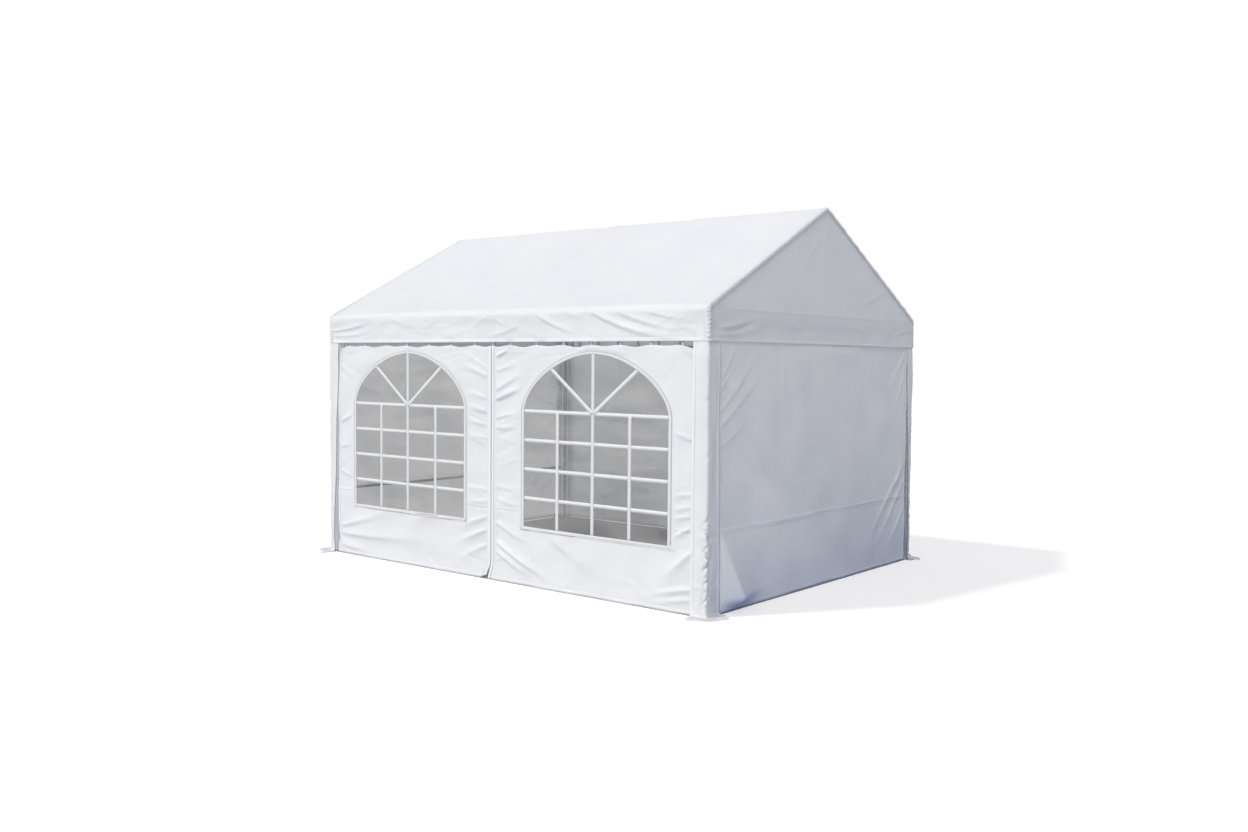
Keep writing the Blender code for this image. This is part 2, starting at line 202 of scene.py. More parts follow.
# Roof cover. One sheet of coated woven cloth goes from the front valance's hem over both slopes to the
# back one. It is stretched over the bars, sags a little between the trusses and is hemmed at both ends.
roof_low, roof_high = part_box("roof_cover")
HALF_LENGTH = roof_high.x
HALF_WIDTH = roof_high.y
VALANCE_BOTTOM = roof_low.z
EAVE_CORNER = 2.045
CLOTH = 0.0012
HEM_LIFT = 0.0012
HEM_PAST = 0.001  # a hem reaches this far past the cloth's edge
SEAM_IN = 0.004  # from the edge of a hem to its stitches
EAVE_RADIUS = 0.060
RIDGE_RADIUS = 0.045
CAD_RIDGE_RADIUS = 0.0743
ROOF_END = 0.010  # the sheet stops this far short of the end, under the bound edge
VALANCE_CLEAR = 0.0015  # the valance never comes nearer than this to what hangs behind it
ROOF_SAG = 0.026
TRUSS_RIDGE = 0.0075  # the cloth stands up over the middle truss
GATHER = 0.0035  # the roof is gathered along its left gable edge
GATHER_PITCH = 0.075
VALANCE_BOW = 0.007  # the valance stands out a little below the eave
TRUSS_REST = 0.03  # how far from a truss the cloth lifts off it
VALANCE_HEM = 0.026
ROOF_STEPS = (0.0085, 0.008, 0.034, 0.006)  # rows of the valance, eave, slope and ridge
STITCH_PITCH = 0.011
STITCH_LONG = 0.0080
STITCH_THICK = 0.0009
CLOTH_WHITE = (0.940, 0.945, 0.950, 1)
CLOTH_SHADE = (0.905, 0.912, 0.922, 1)
THREAD_WHITE = (0.80, 0.81, 0.82, 1)
CLOTH_SHINE = 0.25
WEAVE_PITCH = 0.0026
MOTTLE_PER_METRE = 2.2
CREASES_PER_METRE = 9.0
SLUBS = ((7, 75, 1), (75, 7, 1))  # thicker threads, as patches per metre along and across
LIGHT_THROUGH = 0.48
ROOF_FOLDS = (
    ((0.03, 0.305), (0.15, 0.42), 0.01, 0.003), ((0.05, 0.3), (0.24, 0.36), 0.012, 0.003),
    ((-0.02, 0.305), (-0.1, 0.4), 0.01, 0.0025), ((-1.93, 1.88), (-1.7, 1.7), 0.018, 0.0035),
    ((-1.95, 1.78), (-1.74, 1.56), 0.016, 0.003), ((-1.95, 0.36), (-1.62, 0.5), 0.022, 0.003),
)
VALANCE_FOLDS = (
    ((-1.97, 0.105), (-1.36, 0.215), 0.024, 0.012), ((-1.96, 0.062), (-1.3, 0.14), 0.022, 0.009),
    ((-1.8, 0.04), (-1.4, 0.06), 0.014, 0.005), ((-1.2, 0.2), (-0.7, 0.12), 0.03, 0.005),
    ((0.02, 0.05), (0.42, 0.19), 0.03, 0.0075), ((0.02, 0.19), (0.2, 0.1), 0.014, 0.0055),
    ((-0.03, 0.195), (-0.3, 0.06), 0.02, 0.0065), ((0.46, 0.205), (0.93, 0.05), 0.024, 0.0135),
    ((0.7, 0.225), (1.02, 0.16), 0.018, 0.0055), ((1.0, 0.2), (1.9, 0.012), 0.034, 0.0185),
    ((1.24, 0.2), (1.94, 0.075), 0.028, 0.012), ((1.5, 0.2), (1.95, 0.15), 0.02, 0.008),
)


def roof_slope():
    """The slope of the roof, from its rounded ridge and the place where slope and valance would meet."""
    slope = math.atan2(roof_high.z - EAVE_CORNER, HALF_WIDTH)
    for _ in range(20):
        sharp_ridge = roof_high.z + CAD_RIDGE_RADIUS * (1 / math.cos(slope) - 1)
        slope = math.atan2(sharp_ridge - EAVE_CORNER, HALF_WIDTH)
    return slope


SLOPE = roof_slope()
EAVE_TURN = math.pi / 2 - SLOPE
EAVE_CENTRE_Z = EAVE_CORNER - EAVE_RADIUS * math.tan(EAVE_TURN / 2)
RIDGE_CENTRE_Z = EAVE_CORNER + HALF_WIDTH * math.tan(SLOPE) - RIDGE_RADIUS / math.cos(SLOPE)
EAVE_LOW = EAVE_CENTRE_Z - VALANCE_BOTTOM  # lengths along the section, from the front hem
EAVE_HIGH = EAVE_LOW + EAVE_RADIUS * EAVE_TURN
SLOPE_RUN = (
    (HALF_WIDTH - EAVE_RADIUS + EAVE_RADIUS * math.cos(EAVE_TURN) - RIDGE_RADIUS * math.sin(SLOPE))
    / math.cos(SLOPE)
)
RIDGE_LOW = EAVE_HIGH + SLOPE_RUN
RIDGE_TOP = RIDGE_LOW + RIDGE_RADIUS * SLOPE
TRUSS_X = sum(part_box("rafter_front_right")[i].x for i in (0, 1)) / 2
# Slow waves are given by seed, length and height; creases by seed, count, spans, height and lean.
VALANCE_WAVES = (3, 0.30, 0.0026)
ROOF_WAVES = (5, 0.8, 0.0016)
VALANCE_CREASES = (4, 70, ((-HALF_LENGTH, HALF_LENGTH), (0, EAVE_LOW)), 0.0030, 0.35)
ROOF_CREASES = (6, 60, ((-HALF_LENGTH, HALF_LENGTH), (EAVE_HIGH, 2 * RIDGE_TOP - EAVE_HIGH)), 0.0016, 1.2)


def smooth(value):
    """0 below 0, 1 above 1, and an even curve between them."""
    value = np.clip(value, 0, 1)
    return value * value * (3 - 2 * value)


def hump(off, wide):
    """1 at a place, falling off evenly on both sides of it."""
    return np.exp(-((off / wide) ** 2))


def folds_at(u, v, folds, bend=0.035, wider=1.0):
    """Height of loose folds at flat places. A fold runs from its root, where it is narrow, to its tail."""
    total = np.zeros_like(u)
    for (root_u, root_v), (tail_u, tail_v), width, height in folds:
        run_u, run_v = tail_u - root_u, tail_v - root_v
        length = math.hypot(run_u, run_v)
        along = ((u - root_u) * run_u + (v - root_v) * run_v) / length**2
        across = ((v - root_v) * run_u - (u - root_u) * run_v) / length
        across = across + bend * length * np.sin(math.pi * np.clip(along, 0, 1))
        spread = wider * width * (0.45 + 0.95 * np.clip(along, 0, 1))
        side = np.abs(np.where(across > 0, across / spread, across / (spread * 0.5)))
        envelope = smooth((along + 0.05) / 0.16) * smooth((1.05 - along) / 0.75)
        total += height * envelope * np.exp(-side**1.5)
    return total


def creases_at(u, v, seed, count, spans, height, level=0.6):
    """Short sharp creases, from packing and handling, scattered over spans of u and v."""
    draw = np.random.default_rng(seed)
    (low_u, high_u), (low_v, high_v) = spans
    total = np.zeros_like(u)
    for _ in range(count):
        off_u, off_v = u - draw.uniform(low_u, high_u), v - draw.uniform(low_v, high_v)
        angle, bend = draw.normal(0, level), draw.uniform(-0.7, 0.7)
        long, wide = draw.uniform(0.06, 0.26), draw.uniform(0.010, 0.024)
        along = off_u * math.cos(angle) + off_v * math.sin(angle)
        across = off_v * math.cos(angle) - off_u * math.sin(angle) + bend * along**2
        total += draw.uniform(-1, 1) * height * np.exp(-(along / long) ** 2 - (across / wide) ** 2)
    return total


def waves_at(u, v, seed, length, height, count=7):
    """Slow uneven waves, as cloth has that lay folded in its bag and was then hung."""
    draw = np.random.default_rng(seed)
    total = np.zeros_like(u)
    for _ in range(count):
        angle, phase, stretch = draw.uniform(0, math.pi), draw.uniform(0, 6.28), draw.uniform(0.6, 1.6)
        travel = u * math.cos(angle) + v * math.sin(angle)
        total += np.sin(travel * 2 * math.pi / (length * stretch) + phase)
    return total * height / math.sqrt(count)


def from_hem(v):
    """Length along the section from the nearer hem."""
    return np.where(v > RIDGE_TOP, 2 * RIDGE_TOP - v, v)


def roof_section(v):
    """Places (y, z) and outward directions (y, z) at lengths v along the section from the front hem."""
    back, half = v > RIDGE_TOP, from_hem(v)
    turn = np.clip((half - EAVE_LOW) / EAVE_RADIUS, 0, EAVE_TURN)
    turn = turn + np.clip((half - RIDGE_LOW) / RIDGE_RADIUS, 0, SLOPE)
    up = np.minimum(half - EAVE_LOW, 0)
    run = np.clip(half - EAVE_HIGH, 0, SLOPE_RUN)
    eave_turn = np.minimum(turn, EAVE_TURN)
    y = -HALF_WIDTH + EAVE_RADIUS * (1 - np.cos(eave_turn)) + run * math.cos(SLOPE)
    z = EAVE_CENTRE_Z + up + EAVE_RADIUS * np.sin(eave_turn) + run * math.sin(SLOPE)
    over = half > RIDGE_LOW
    y = np.where(over, -RIDGE_RADIUS * np.cos(turn), y)
    z = np.where(over, RIDGE_CENTRE_Z + RIDGE_RADIUS * np.sin(turn), z)
    out_y, out_z = -np.cos(turn), np.sin(turn)
    return np.where(back, -y, y), z, np.where(back, -out_y, out_y), out_z


def roof_sag(u, v):
    """How far the cloth hangs below the line of the bars, between trusses and between ridge and eave."""
    down = np.clip((from_hem(v) - EAVE_HIGH) / SLOPE_RUN, 0, 1)
    bay = np.clip((np.abs(u) - TRUSS_REST / 2) / (TRUSS_X - TRUSS_REST), 0, 1)
    return ROOF_SAG * 4 * bay * (1 - bay) * np.sin(math.pi * down) ** 0.8


def roof_shape(u, v):
    """The roof cloth: u runs along the tent, v along the section from the front hem to the back one."""
    y, z, out_y, out_z = roof_section(v)
    half = from_hem(v)
    side = np.where(v > RIDGE_TOP, -u, u)
    above = 1 - smooth((EAVE_LOW + 0.02 - half) / 0.05)
    height = 1.1 * folds_at(side, half, VALANCE_FOLDS, 0.05, 1.1)
    height += VALANCE_BOW * hump(half - 0.20, 0.06)
    height += waves_at(u, v, *VALANCE_WAVES) + creases_at(u, half, *VALANCE_CREASES)
    height *= (smooth(half / 0.03) * 0.5 + 0.5) * smooth((EAVE_LOW + 0.06 - half) / 0.06)
    height += folds_at(side, half, ROOF_FOLDS) + waves_at(u, v, *ROOF_WAVES) * above
    height += creases_at(u, v, *ROOF_CREASES) * above
    height -= roof_sag(u, v)
    gathers = np.sin(half * 2 * math.pi / GATHER_PITCH + 3 * waves_at(half, v * 0, 9, 0.5, 1.0))
    height += GATHER * gathers * np.exp(-(HALF_LENGTH + u) / 0.11) * above
    height = np.where(half < EAVE_LOW, np.maximum(height, -VALANCE_CLEAR), height)
    height += TRUSS_RIDGE * hump(u, 0.045) * smooth((half - EAVE_HIGH) / 0.08)
    height = height * smooth((HALF_LENGTH - np.abs(u)) / 0.05)
    return np.stack([u, y + out_y * height, z + out_z * height], axis=-1)


def cloth_finish(name, bright, shade, through, gloss=0.52):
    """Coated woven cloth: weave and thick threads in the bump, faint mottling, and it lets light through."""
    finish, tree = new_finish(name)
    flat = add_node(tree, "UVMap", uv_map="flat")
    axes = add_node(tree, "SeparateXYZ", {0: flat})
    turns = [reckon(tree, "MULTIPLY", axes.outputs[i], 2 * math.pi / WEAVE_PITCH) for i in (0, 1)]
    weave = reckon(tree, "MULTIPLY", *(reckon(tree, "SINE", turn) for turn in turns))
    runs = [add_node(tree, "Mapping", {"Vector": flat, "Scale": stretch}) for stretch in SLUBS]
    thick = reckon(tree, "ADD", *(noise(tree, run, 1.0) for run in runs))
    patches = noise(tree, flat, MOTTLE_PER_METRE, 4.0)
    dust = spread(tree, reckon(tree, "ADD", thick, patches), of=(1.15, 1.85))
    colour = mixed(tree, dust, shade, bright)
    soft = bumps(tree, noise(tree, flat, CREASES_PER_METRE, 5.0, 0.6), 0.5, 0.0025)
    uneven = bumps(tree, thick, 0.5, 0.0016, Normal=soft)
    woven = bumps(tree, weave, 0.25, 0.0002, Normal=uneven)
    coated = {"Base Color": colour, "Roughness": gloss, "Specular IOR Level": CLOTH_SHINE, "Normal": woven}
    coated = add_node(tree, "BsdfPrincipled", coated)
    glow = add_node(tree, "BsdfTranslucent", {"Color": colour, "Normal": woven})
    return finished(finish, add_node(tree, "MixShader", {0: through, 1: coated, 2: glow}))


def stations(marks, steps):
    """Places along a cloth: every mark, and the gaps between them cut into pieces of at most a step."""
    places = [marks[0]]
    for low, high, step in zip(marks, marks[1:], steps):
        count = max(1, math.ceil((high - low) / step - 1e-6))
        places += [low + (high - low) * (i + 1) / count for i in range(count)]
    return places


def cut_cloth(across, up):
    """Flat cloth as a grid, with its columns and rows at the given places."""
    bm = bmesh.new()
    columns, rows = len(across) - 1, len(up) - 1
    bmesh.ops.create_grid(bm, x_segments=columns, y_segments=rows, size=0.5)
    for vert in bm.verts:
        column, row = round((vert.co.x + 0.5) * columns), round((vert.co.y + 0.5) * rows)
        vert.co = (across[column], up[row], 0)
    return bm


def on_cloth(shape, u, v, lift=0.0):
    """Points of a hung cloth at flat places, raised by lift from its outer face."""
    u, v = np.asarray(u, float), np.asarray(v, float)
    lift = np.asarray(lift(u, v) if callable(lift) else lift)[..., None]
    if not lift.any():
        return shape(u, v)
    reach = 0.002
    along = shape(u + reach, v) - shape(u - reach, v)
    up = shape(u, v + reach) - shape(u, v - reach)
    out = np.cross(along, up)
    out /= np.linalg.norm(out, axis=-1, keepdims=True)
    return shape(u, v) + out * lift


def lay_flat(bm, across=0, up=1):
    """Smooth cloth gets its UVs in metres, from two of its three axes."""
    flat = bm.loops.layers.uv.new("flat")
    for face in bm.faces:
        face.smooth = True
        for loop in face.loops:
            loop[flat].uv = (loop.vert.co[across], loop.vert.co[up])


def thicken(piece, thickness, offset=-1):
    solid = piece.modifiers.new("thickness", "SOLIDIFY")
    solid.thickness = thickness
    solid.offset = offset
    return piece


def hang(name, bm, shape, finish, *nodes, lift=0.0, thickness=CLOTH, slot="white_cloth"):
    """Flat cloth takes its hung shape, and becomes a piece that may stand for some frame nodes."""
    lay_flat(bm)
    places = np.array([vert.co for vert in bm.verts])
    for vert, place in zip(bm.verts, on_cloth(shape, places[:, 0], places[:, 1], lift)):
        vert.co = place
    return belongs(thicken(show(name, bm, finish), thickness), slot, *nodes)


def sew(name, shape, lines, lift):
    """Stitches along flat lines. A line is its two ends, and each stitch is a short flat loop of thread."""
    bm = bmesh.new()
    bm.loops.layers.uv.new("flat")
    for (start_u, start_v), (end_u, end_v) in lines:
        length = math.hypot(end_u - start_u, end_v - start_v)
        count = max(1, int(length / STITCH_PITCH))
        share = (np.arange(count) + 0.5) / count
        half = STITCH_LONG / 2 / length
        ends = []
        for way in (-half, half):
            u = start_u + (end_u - start_u) * (share + way)
            v = start_v + (end_v - start_v) * (share + way)
            ends.append(on_cloth(shape, u, v, lift))
        for one, two in zip(*ends):
            one, two = Vector(one), Vector(two)
            turn = (two - one).to_track_quat("Z", "X").to_matrix().to_4x4()
            size = Matrix.Diagonal((STITCH_THICK, STITCH_THICK, (two - one).length, 1))
            bmesh.ops.create_cube(bm, size=1.0, matrix=Matrix.Translation((one + two) / 2) @ turn @ size)
    return belongs(show(name, bm, thread), "white_cloth")


def hem(name, across, up, shape, lift=HEM_LIFT):
    """A hem: another layer of the cloth, on the outer face of a hung one."""
    return hang(name, cut_cloth(across, up), shape, hem_white, lift=lift)


def sheet_area(bm):
    return sum(face.calc_area() for face in bm.faces)


white = cloth_finish("white_cloth", CLOTH_WHITE, CLOTH_SHADE, LIGHT_THROUGH)
hem_white = cloth_finish("hem_cloth", CLOTH_WHITE, CLOTH_SHADE, LIGHT_THROUGH * 0.7)
thread = cloth_finish("thread", THREAD_WHITE, THREAD_WHITE, 0.05)


def make_roof():
    end = HALF_LENGTH - ROOF_END
    rows = stations((0, EAVE_LOW, EAVE_HIGH, RIDGE_LOW, 2 * RIDGE_TOP - RIDGE_LOW), ROOF_STEPS)
    rows += [2 * RIDGE_TOP - row for row in reversed(rows) if row < RIDGE_LOW - 1e-6]
    cloth = cut_cloth(stations((-end, end), (0.018,)), rows)
    roof = hang("roof_cloth", cloth, roof_shape, white, "roof_cover")
    for where, low in (("front", -HEM_PAST), ("back", 2 * RIDGE_TOP - VALANCE_HEM + HEM_PAST)):
        rows = stations((low, low + VALANCE_HEM), (0.008,))
        hem(f"valance_hem_{where}", stations((-end, end), (0.02,)), rows, roof_shape)
        line = low + VALANCE_HEM - SEAM_IN if where == "front" else low + SEAM_IN
        sew(f"valance_stitching_{where}", roof_shape, [((-end, line), (end, line))], HEM_LIFT)


make_roof()


# Bound edges of the roof. At each gable the roof cloth is folded over the end and sewn down to the gable
# in a narrow band, which the thread draws up into small puckers all the way round.
BOUND_TOP = 0.030  # how far the band reaches in over the roof
BOUND_RADIUS = 0.012
BOUND_DOWN = 0.017  # how far it reaches down the gable below the fold
BOUND_LIFT = 0.0008
PUCKER_LENGTH = 0.027
PUCKER_HEIGHT = 0.0115
PUCKER_WAVES = (0.11, 0.55)
ENDS = (("left", -1), ("right", 1))


def bound_edge_shape(direction):
    quarter = BOUND_RADIUS * math.pi / 2

    def shape(u, v):
        y, z, out_y, out_z = roof_section(v)
        across = u * direction
        turn = np.clip((across - BOUND_TOP) / BOUND_RADIUS, 0, math.pi / 2)
        past = np.maximum(across - BOUND_TOP - quarter, 0)
        flat = np.minimum(across, BOUND_TOP)
        x = HALF_LENGTH - BOUND_RADIUS - BOUND_TOP + flat + BOUND_RADIUS * np.sin(turn)
        drop = BOUND_RADIUS * (1 - np.cos(turn)) + past
        uneven = waves_at(v, v * 0, 11 + direction, *PUCKER_WAVES)
        pucker = np.sin(v * 2 * math.pi / PUCKER_LENGTH + 2.2 * uneven) * (0.65 + 0.5 * uneven)
        gathered = smooth((across - BOUND_TOP * 0.55) / (BOUND_RADIUS * 1.5))
        x = x + PUCKER_HEIGHT * 0.8 * pucker * gathered * np.sin(turn)
        lift = BOUND_LIFT - drop + PUCKER_HEIGHT * 0.5 * pucker * gathered * np.cos(turn)
        return np.stack([direction * x, y + out_y * lift, z + out_z * lift], axis=-1)

    return shape


def make_bound_edges():
    width = BOUND_TOP + BOUND_RADIUS * math.pi / 2 + BOUND_DOWN
    for end, direction in ENDS:
        shape = bound_edge_shape(direction)
        across = stations((0, BOUND_TOP, width - BOUND_DOWN, width), (0.015, 0.004, 0.009))
        if direction < 0:
            across = [-place for place in reversed(across)]
        cloth = cut_cloth(across, stations((0, 2 * RIDGE_TOP), (0.0055,)))
        band = hang(f"bound_edge_{end}", cloth, shape, white)
        line = direction * (width - SEAM_IN)
        seam = sew(f"bound_edge_stitching_{end}", shape, [((line, 0), (line, 2 * RIDGE_TOP))], 0.0)


make_bound_edges()


# Gables. A triangle of the same cloth closes each end above the eaves, with a seam down its middle, and
# a straight valance is sewn over its foot. Both hang from the bound edge.
GABLE_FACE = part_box("gable_triangle_right")[1].x
GABLE_BAND_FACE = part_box("gable_valance_right")[1].x
GABLE_BAND_TOP = 2.026
GABLE_BAND_HEM = 0.024
GABLE_SEAM = 0.014
GABLE_SEAM_LINES = (-0.005, 0.005)
GABLE_CUTS = 12  # straight cuts that follow the roof's section
GABLE_IN = 0.004  # the gable's edge lies this far in under the bound edge
GABLE_DEEP = 2.2  # how much deeper the folds are than listed
BAND_DEEP = 1.8
GABLE_WAVES = (17, 0.45, 0.0026)
BAND_WAVES = (23, 0.3, 0.0026)
GABLE_FOLDS = (
    ((-0.1, 2.6), (-0.45, 2.3), 0.03, 0.003), ((0.06, 2.62), (0.34, 2.28), 0.03, 0.0035),
    ((-0.02, 2.68), (-0.1, 2.2), 0.026, 0.0025), ((1.02, 2.28), (0.42, 2.08), 0.03, 0.005),
    ((0.95, 2.33), (0.55, 2.16), 0.02, 0.0035), ((1.34, 2.1), (0.7, 2.09), 0.026, 0.0045),
    ((-1.35, 2.09), (-0.9, 2.2), 0.03, 0.003),
)
GABLE_BAND_FOLDS = (
    ((-1.4, 1.895), (-0.92, 1.992), 0.028, 0.011), ((-1.42, 1.85), (-0.8, 1.945), 0.026, 0.007),
    ((-1.3, 1.83), (-1.0, 1.88), 0.014, 0.0035), ((-0.62, 1.99), (-0.2, 1.88), 0.022, 0.003),
    ((0.3, 1.985), (0.8, 1.9), 0.024, 0.0032), ((1.42, 1.96), (1.05, 1.86), 0.018, 0.005),
)


def gable_shape(direction):
    def shape(u, v):
        side = u * direction
        edge = smooth((EAVE_CORNER + (HALF_WIDTH - np.abs(u)) * math.tan(SLOPE) - v) / 0.18)
        height = GABLE_DEEP * folds_at(side, v, GABLE_FOLDS, 0.0) + waves_at(u, v, *GABLE_WAVES)
        height = height * edge * smooth((v - GABLE_BAND_TOP - 0.01) / 0.12) - 0.0008
        return np.stack([direction * (GABLE_FACE + height), side, v], axis=-1)

    return shape


def gable_band_shape(direction):
    def shape(u, v):
        side = u * direction
        edge = smooth((HALF_WIDTH - np.abs(u)) / 0.10) * smooth((GABLE_BAND_TOP - v) / 0.03)
        height = BAND_DEEP * folds_at(side, v, GABLE_BAND_FOLDS) + waves_at(u, v, *BAND_WAVES)
        height = np.maximum(height, -0.0012) * edge + 0.003 * smooth((1.88 - v) / 0.08) * edge
        return np.stack([direction * (GABLE_BAND_FACE + height), side, v], axis=-1)

    return shape


def trim_cloth(cloth, place, outward):
    """Cuts off flat cloth along a straight line."""
    bmesh.ops.bisect_plane(
        cloth,
        geom=cloth.verts[:] + cloth.edges[:] + cloth.faces[:],
        plane_co=(*place, 0),
        plane_no=(*outward, 0),
        clear_outer=True,
    )


def make_gable(end, direction, half):
    shape = gable_shape(direction)
    rows = stations((GABLE_BAND_TOP - 0.05, roof_high.z), (0.02,))
    cloth = cut_cloth(stations((-half, half), (0.02,)), rows)
    for step in range(GABLE_CUTS + 1):
        v = EAVE_LOW + (2 * (RIDGE_TOP - EAVE_LOW)) * step / GABLE_CUTS
        y, z, out_y, out_z = (float(value) for value in roof_section(np.array(v)))
        trim_cloth(cloth, (direction * y, z - GABLE_IN), (direction * out_y, out_z))
    area = sheet_area(cloth)
    gable = hang(f"gable_cloth_{end}", cloth, shape, white, f"gable_triangle_{end}")
    columns = stations((-GABLE_SEAM / 2, GABLE_SEAM / 2), (0.007,))
    low, high = GABLE_BAND_TOP - 0.03, roof_high.z - 0.02
    seam = hem(f"gable_seam_{end}", columns, stations((low, high), (0.02,)), shape, lift=0.001)
    lines = [((u, low), (u, high)) for u in GABLE_SEAM_LINES]
    stitches = sew(f"gable_seam_stitching_{end}", shape, lines, 0.001)


def make_gable_band(end, direction, half):
    shape = gable_band_shape(direction)
    columns = stations((-half, half), (0.014,))
    cloth = cut_cloth(columns, stations((VALANCE_BOTTOM, GABLE_BAND_TOP), (0.012,)))
    band = hang(f"gable_band_{end}", cloth, shape, white, f"gable_valance_{end}")
    rows = stations((VALANCE_BOTTOM - HEM_PAST, VALANCE_BOTTOM + GABLE_BAND_HEM), (0.008,))
    trims = [hem(f"gable_band_hem_{end}", columns, rows, shape)]
    levels = (VALANCE_BOTTOM + GABLE_BAND_HEM - SEAM_IN, GABLE_BAND_TOP - SEAM_IN, GABLE_BAND_TOP - 0.011)
    lines = [((-half, v), (half, v)) for v in levels]
    trims.append(sew(f"gable_band_stitching_{end}", shape, lines, HEM_LIFT))


for end, direction in ENDS:
    make_gable(end, direction, HALF_WIDTH - GABLE_IN)
    make_gable_band(end, direction, HALF_WIDTH - GABLE_IN)


# Long walls. Each bay is one sheet that hangs from the eave bar on short straps, so its top edge dips
# between them. The two front sheets meet at the middle leg, where each has a stiff hem strip.
WALL_FACE = -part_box("front_panel_right")[0].y
WALL_TOP = 1.803
WALL_FOOT = 0.005
MIDDLE_GAPS = {"left": 0.0038, "right": 0.0010}
SIDE_HEM = 0.026
HEM_BULGE = 0.0045
BULGE_SEAM = 0.0015  # from either edge of the bulging hem to its stitches
FOOT_SEAM_SHORT = 0.002  # a foot's stitches stop this far from its corners
FOOT_HEM = 0.030
CORNER_HEM = 0.024
FOOT_LIFT = 0.0006  # the foot's hem lies flatter than the others
FOLD_DEPTH = 2.5
FOLD_WIDTH = 1.55
TOP_DROP = 0.016  # at the front all of the top edge hangs lower,
BACK_RISE = 0.020  # and at the back it lies behind the valance
# Dips of the top edge between the straps: how far out, how deep and how wide.
TOP_DIPS = ((0.07, 0.013, 0.060), (0.33, 0.016, 0.080), (0.59, 0.009, 0.075), (0.855, 0.017, 0.085),
            (1.12, 0.010, 0.080), (1.39, 0.016, 0.085), (1.65, 0.008, 0.080), (1.87, 0.024, 0.070))
film_low, film_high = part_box("window_film_right")
left_film_low, left_film_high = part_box("window_film_left")
FILM_LAP = 0.025
WINDOW_MIDDLES = {
    "left": (left_film_low.x + left_film_high.x) / 2,
    "right": (film_low.x + film_high.x) / 2,
}
WINDOW_HALF = (film_high.x - film_low.x) / 2 - FILM_LAP
WINDOW_SILL = film_low.z + FILM_LAP
WINDOW_TOP = film_high.z - FILM_LAP
WINDOW_TRANSOM = 1.300
ARCH_POWER = 1.72  # 2 would be an ellipse: the cloth's shoulders are cut a little flatter
PACKING_CREASE = 0.558
PACKING_RIDGES = ((0.0, 0.0024), (0.016, -0.0016))  # how far below the crease, and how high
WALL_CREASES = (70, ((0.05, 1.90), (0.02, 1.79)), 0.0036)
SEAM_CREASES = (16, ((0.04, 0.30), (0.05, 1.75)), 0.0055, 0.2)  # more of them beside the middle seam
WALL_WAVES = ((0.36, 0.0040), (1.2, 0.0050))
# The front left bay's edge at the corner: height, and how far the cloth reaches from the tent's middle.
LEFT_EDGE = ((0.0, 1.889), (0.08, 1.876), (0.13, 1.856), (0.17, 1.872), (0.40, 1.872), (0.71, 1.882),
             (1.15, 1.876), (1.35, 1.888), (1.52, 1.874), (1.66, 1.860), (1.80, 1.846))
FRONT_LEFT_FOLDS = (
    ((-0.035, 1.55), (-0.36, 1.66), 0.02, 0.0065), ((-0.035, 1.6), (-0.3, 1.74), 0.016, 0.005),
    ((-0.035, 1.385), (-0.32, 1.44), 0.02, 0.005), ((-0.035, 1.28), (-0.3, 1.335), 0.017, 0.007),
    ((-0.035, 1.175), (-0.3, 1.225), 0.015, 0.0055), ((-0.035, 1.08), (-0.28, 1.1), 0.015, 0.004),
    ((-0.035, 0.68), (-0.3, 0.7), 0.018, 0.0045), ((-0.035, 0.6), (-0.32, 0.57), 0.018, 0.005),
    ((-0.035, 0.485), (-0.42, 0.35), 0.022, 0.008), ((-0.035, 0.385), (-0.44, 0.22), 0.024, 0.0085),
    ((-0.035, 0.27), (-0.4, 0.1), 0.024, 0.007), ((-1.85, 0.175), (-0.6, 0.245), 0.04, 0.0075),
    ((-1.85, 0.235), (-1.15, 0.43), 0.03, 0.006), ((-1.84, 0.085), (-1.45, 0.055), 0.022, 0.007),
    ((-0.55, 0.46), (-1.05, 0.33), 0.04, 0.007), ((-1.86, 1.13), (-1.66, 1.22), 0.014, 0.006),
    ((-1.86, 0.72), (-1.66, 0.66), 0.014, 0.0055), ((-1.86, 0.92), (-1.7, 0.95), 0.014, 0.004),
    ((-1.86, 1.62), (-1.66, 1.5), 0.02, 0.004),
)
FRONT_RIGHT_FOLDS = (
    ((0.045, 1.37), (0.36, 1.5), 0.018, 0.0085), ((0.045, 1.44), (0.34, 1.6), 0.02, 0.0065),
    ((0.045, 1.235), (0.34, 1.305), 0.015, 0.0065), ((0.045, 1.16), (0.32, 1.185), 0.015, 0.005),
    ((0.045, 1.695), (0.24, 1.8), 0.015, 0.007), ((0.045, 1.59), (0.28, 1.66), 0.018, 0.005),
    ((0.045, 0.72), (0.32, 0.7), 0.016, 0.004), ((0.045, 0.62), (0.32, 0.59), 0.016, 0.0045),
    ((0.045, 0.445), (0.44, 0.31), 0.022, 0.007), ((0.045, 0.3), (0.74, 0.03), 0.026, 0.0105),
    ((0.045, 0.225), (0.52, 0.045), 0.022, 0.0065), ((0.62, 0.38), (1.2, 0.12), 0.06, 0.006),
    ((1.885, 1.155), (1.68, 1.225), 0.012, 0.0065), ((1.885, 0.805), (1.69, 0.775), 0.013, 0.005),
    ((1.885, 0.72), (1.69, 0.69), 0.012, 0.0055), ((1.885, 0.665), (1.66, 0.61), 0.014, 0.005),
    ((1.885, 0.59), (1.66, 0.47), 0.018, 0.008), ((1.885, 0.43), (1.62, 0.2), 0.03, 0.01),
    ((1.885, 0.11), (1.52, 0.035), 0.018, 0.007), ((1.885, 0.18), (1.45, 0.07), 0.026, 0.008),
)
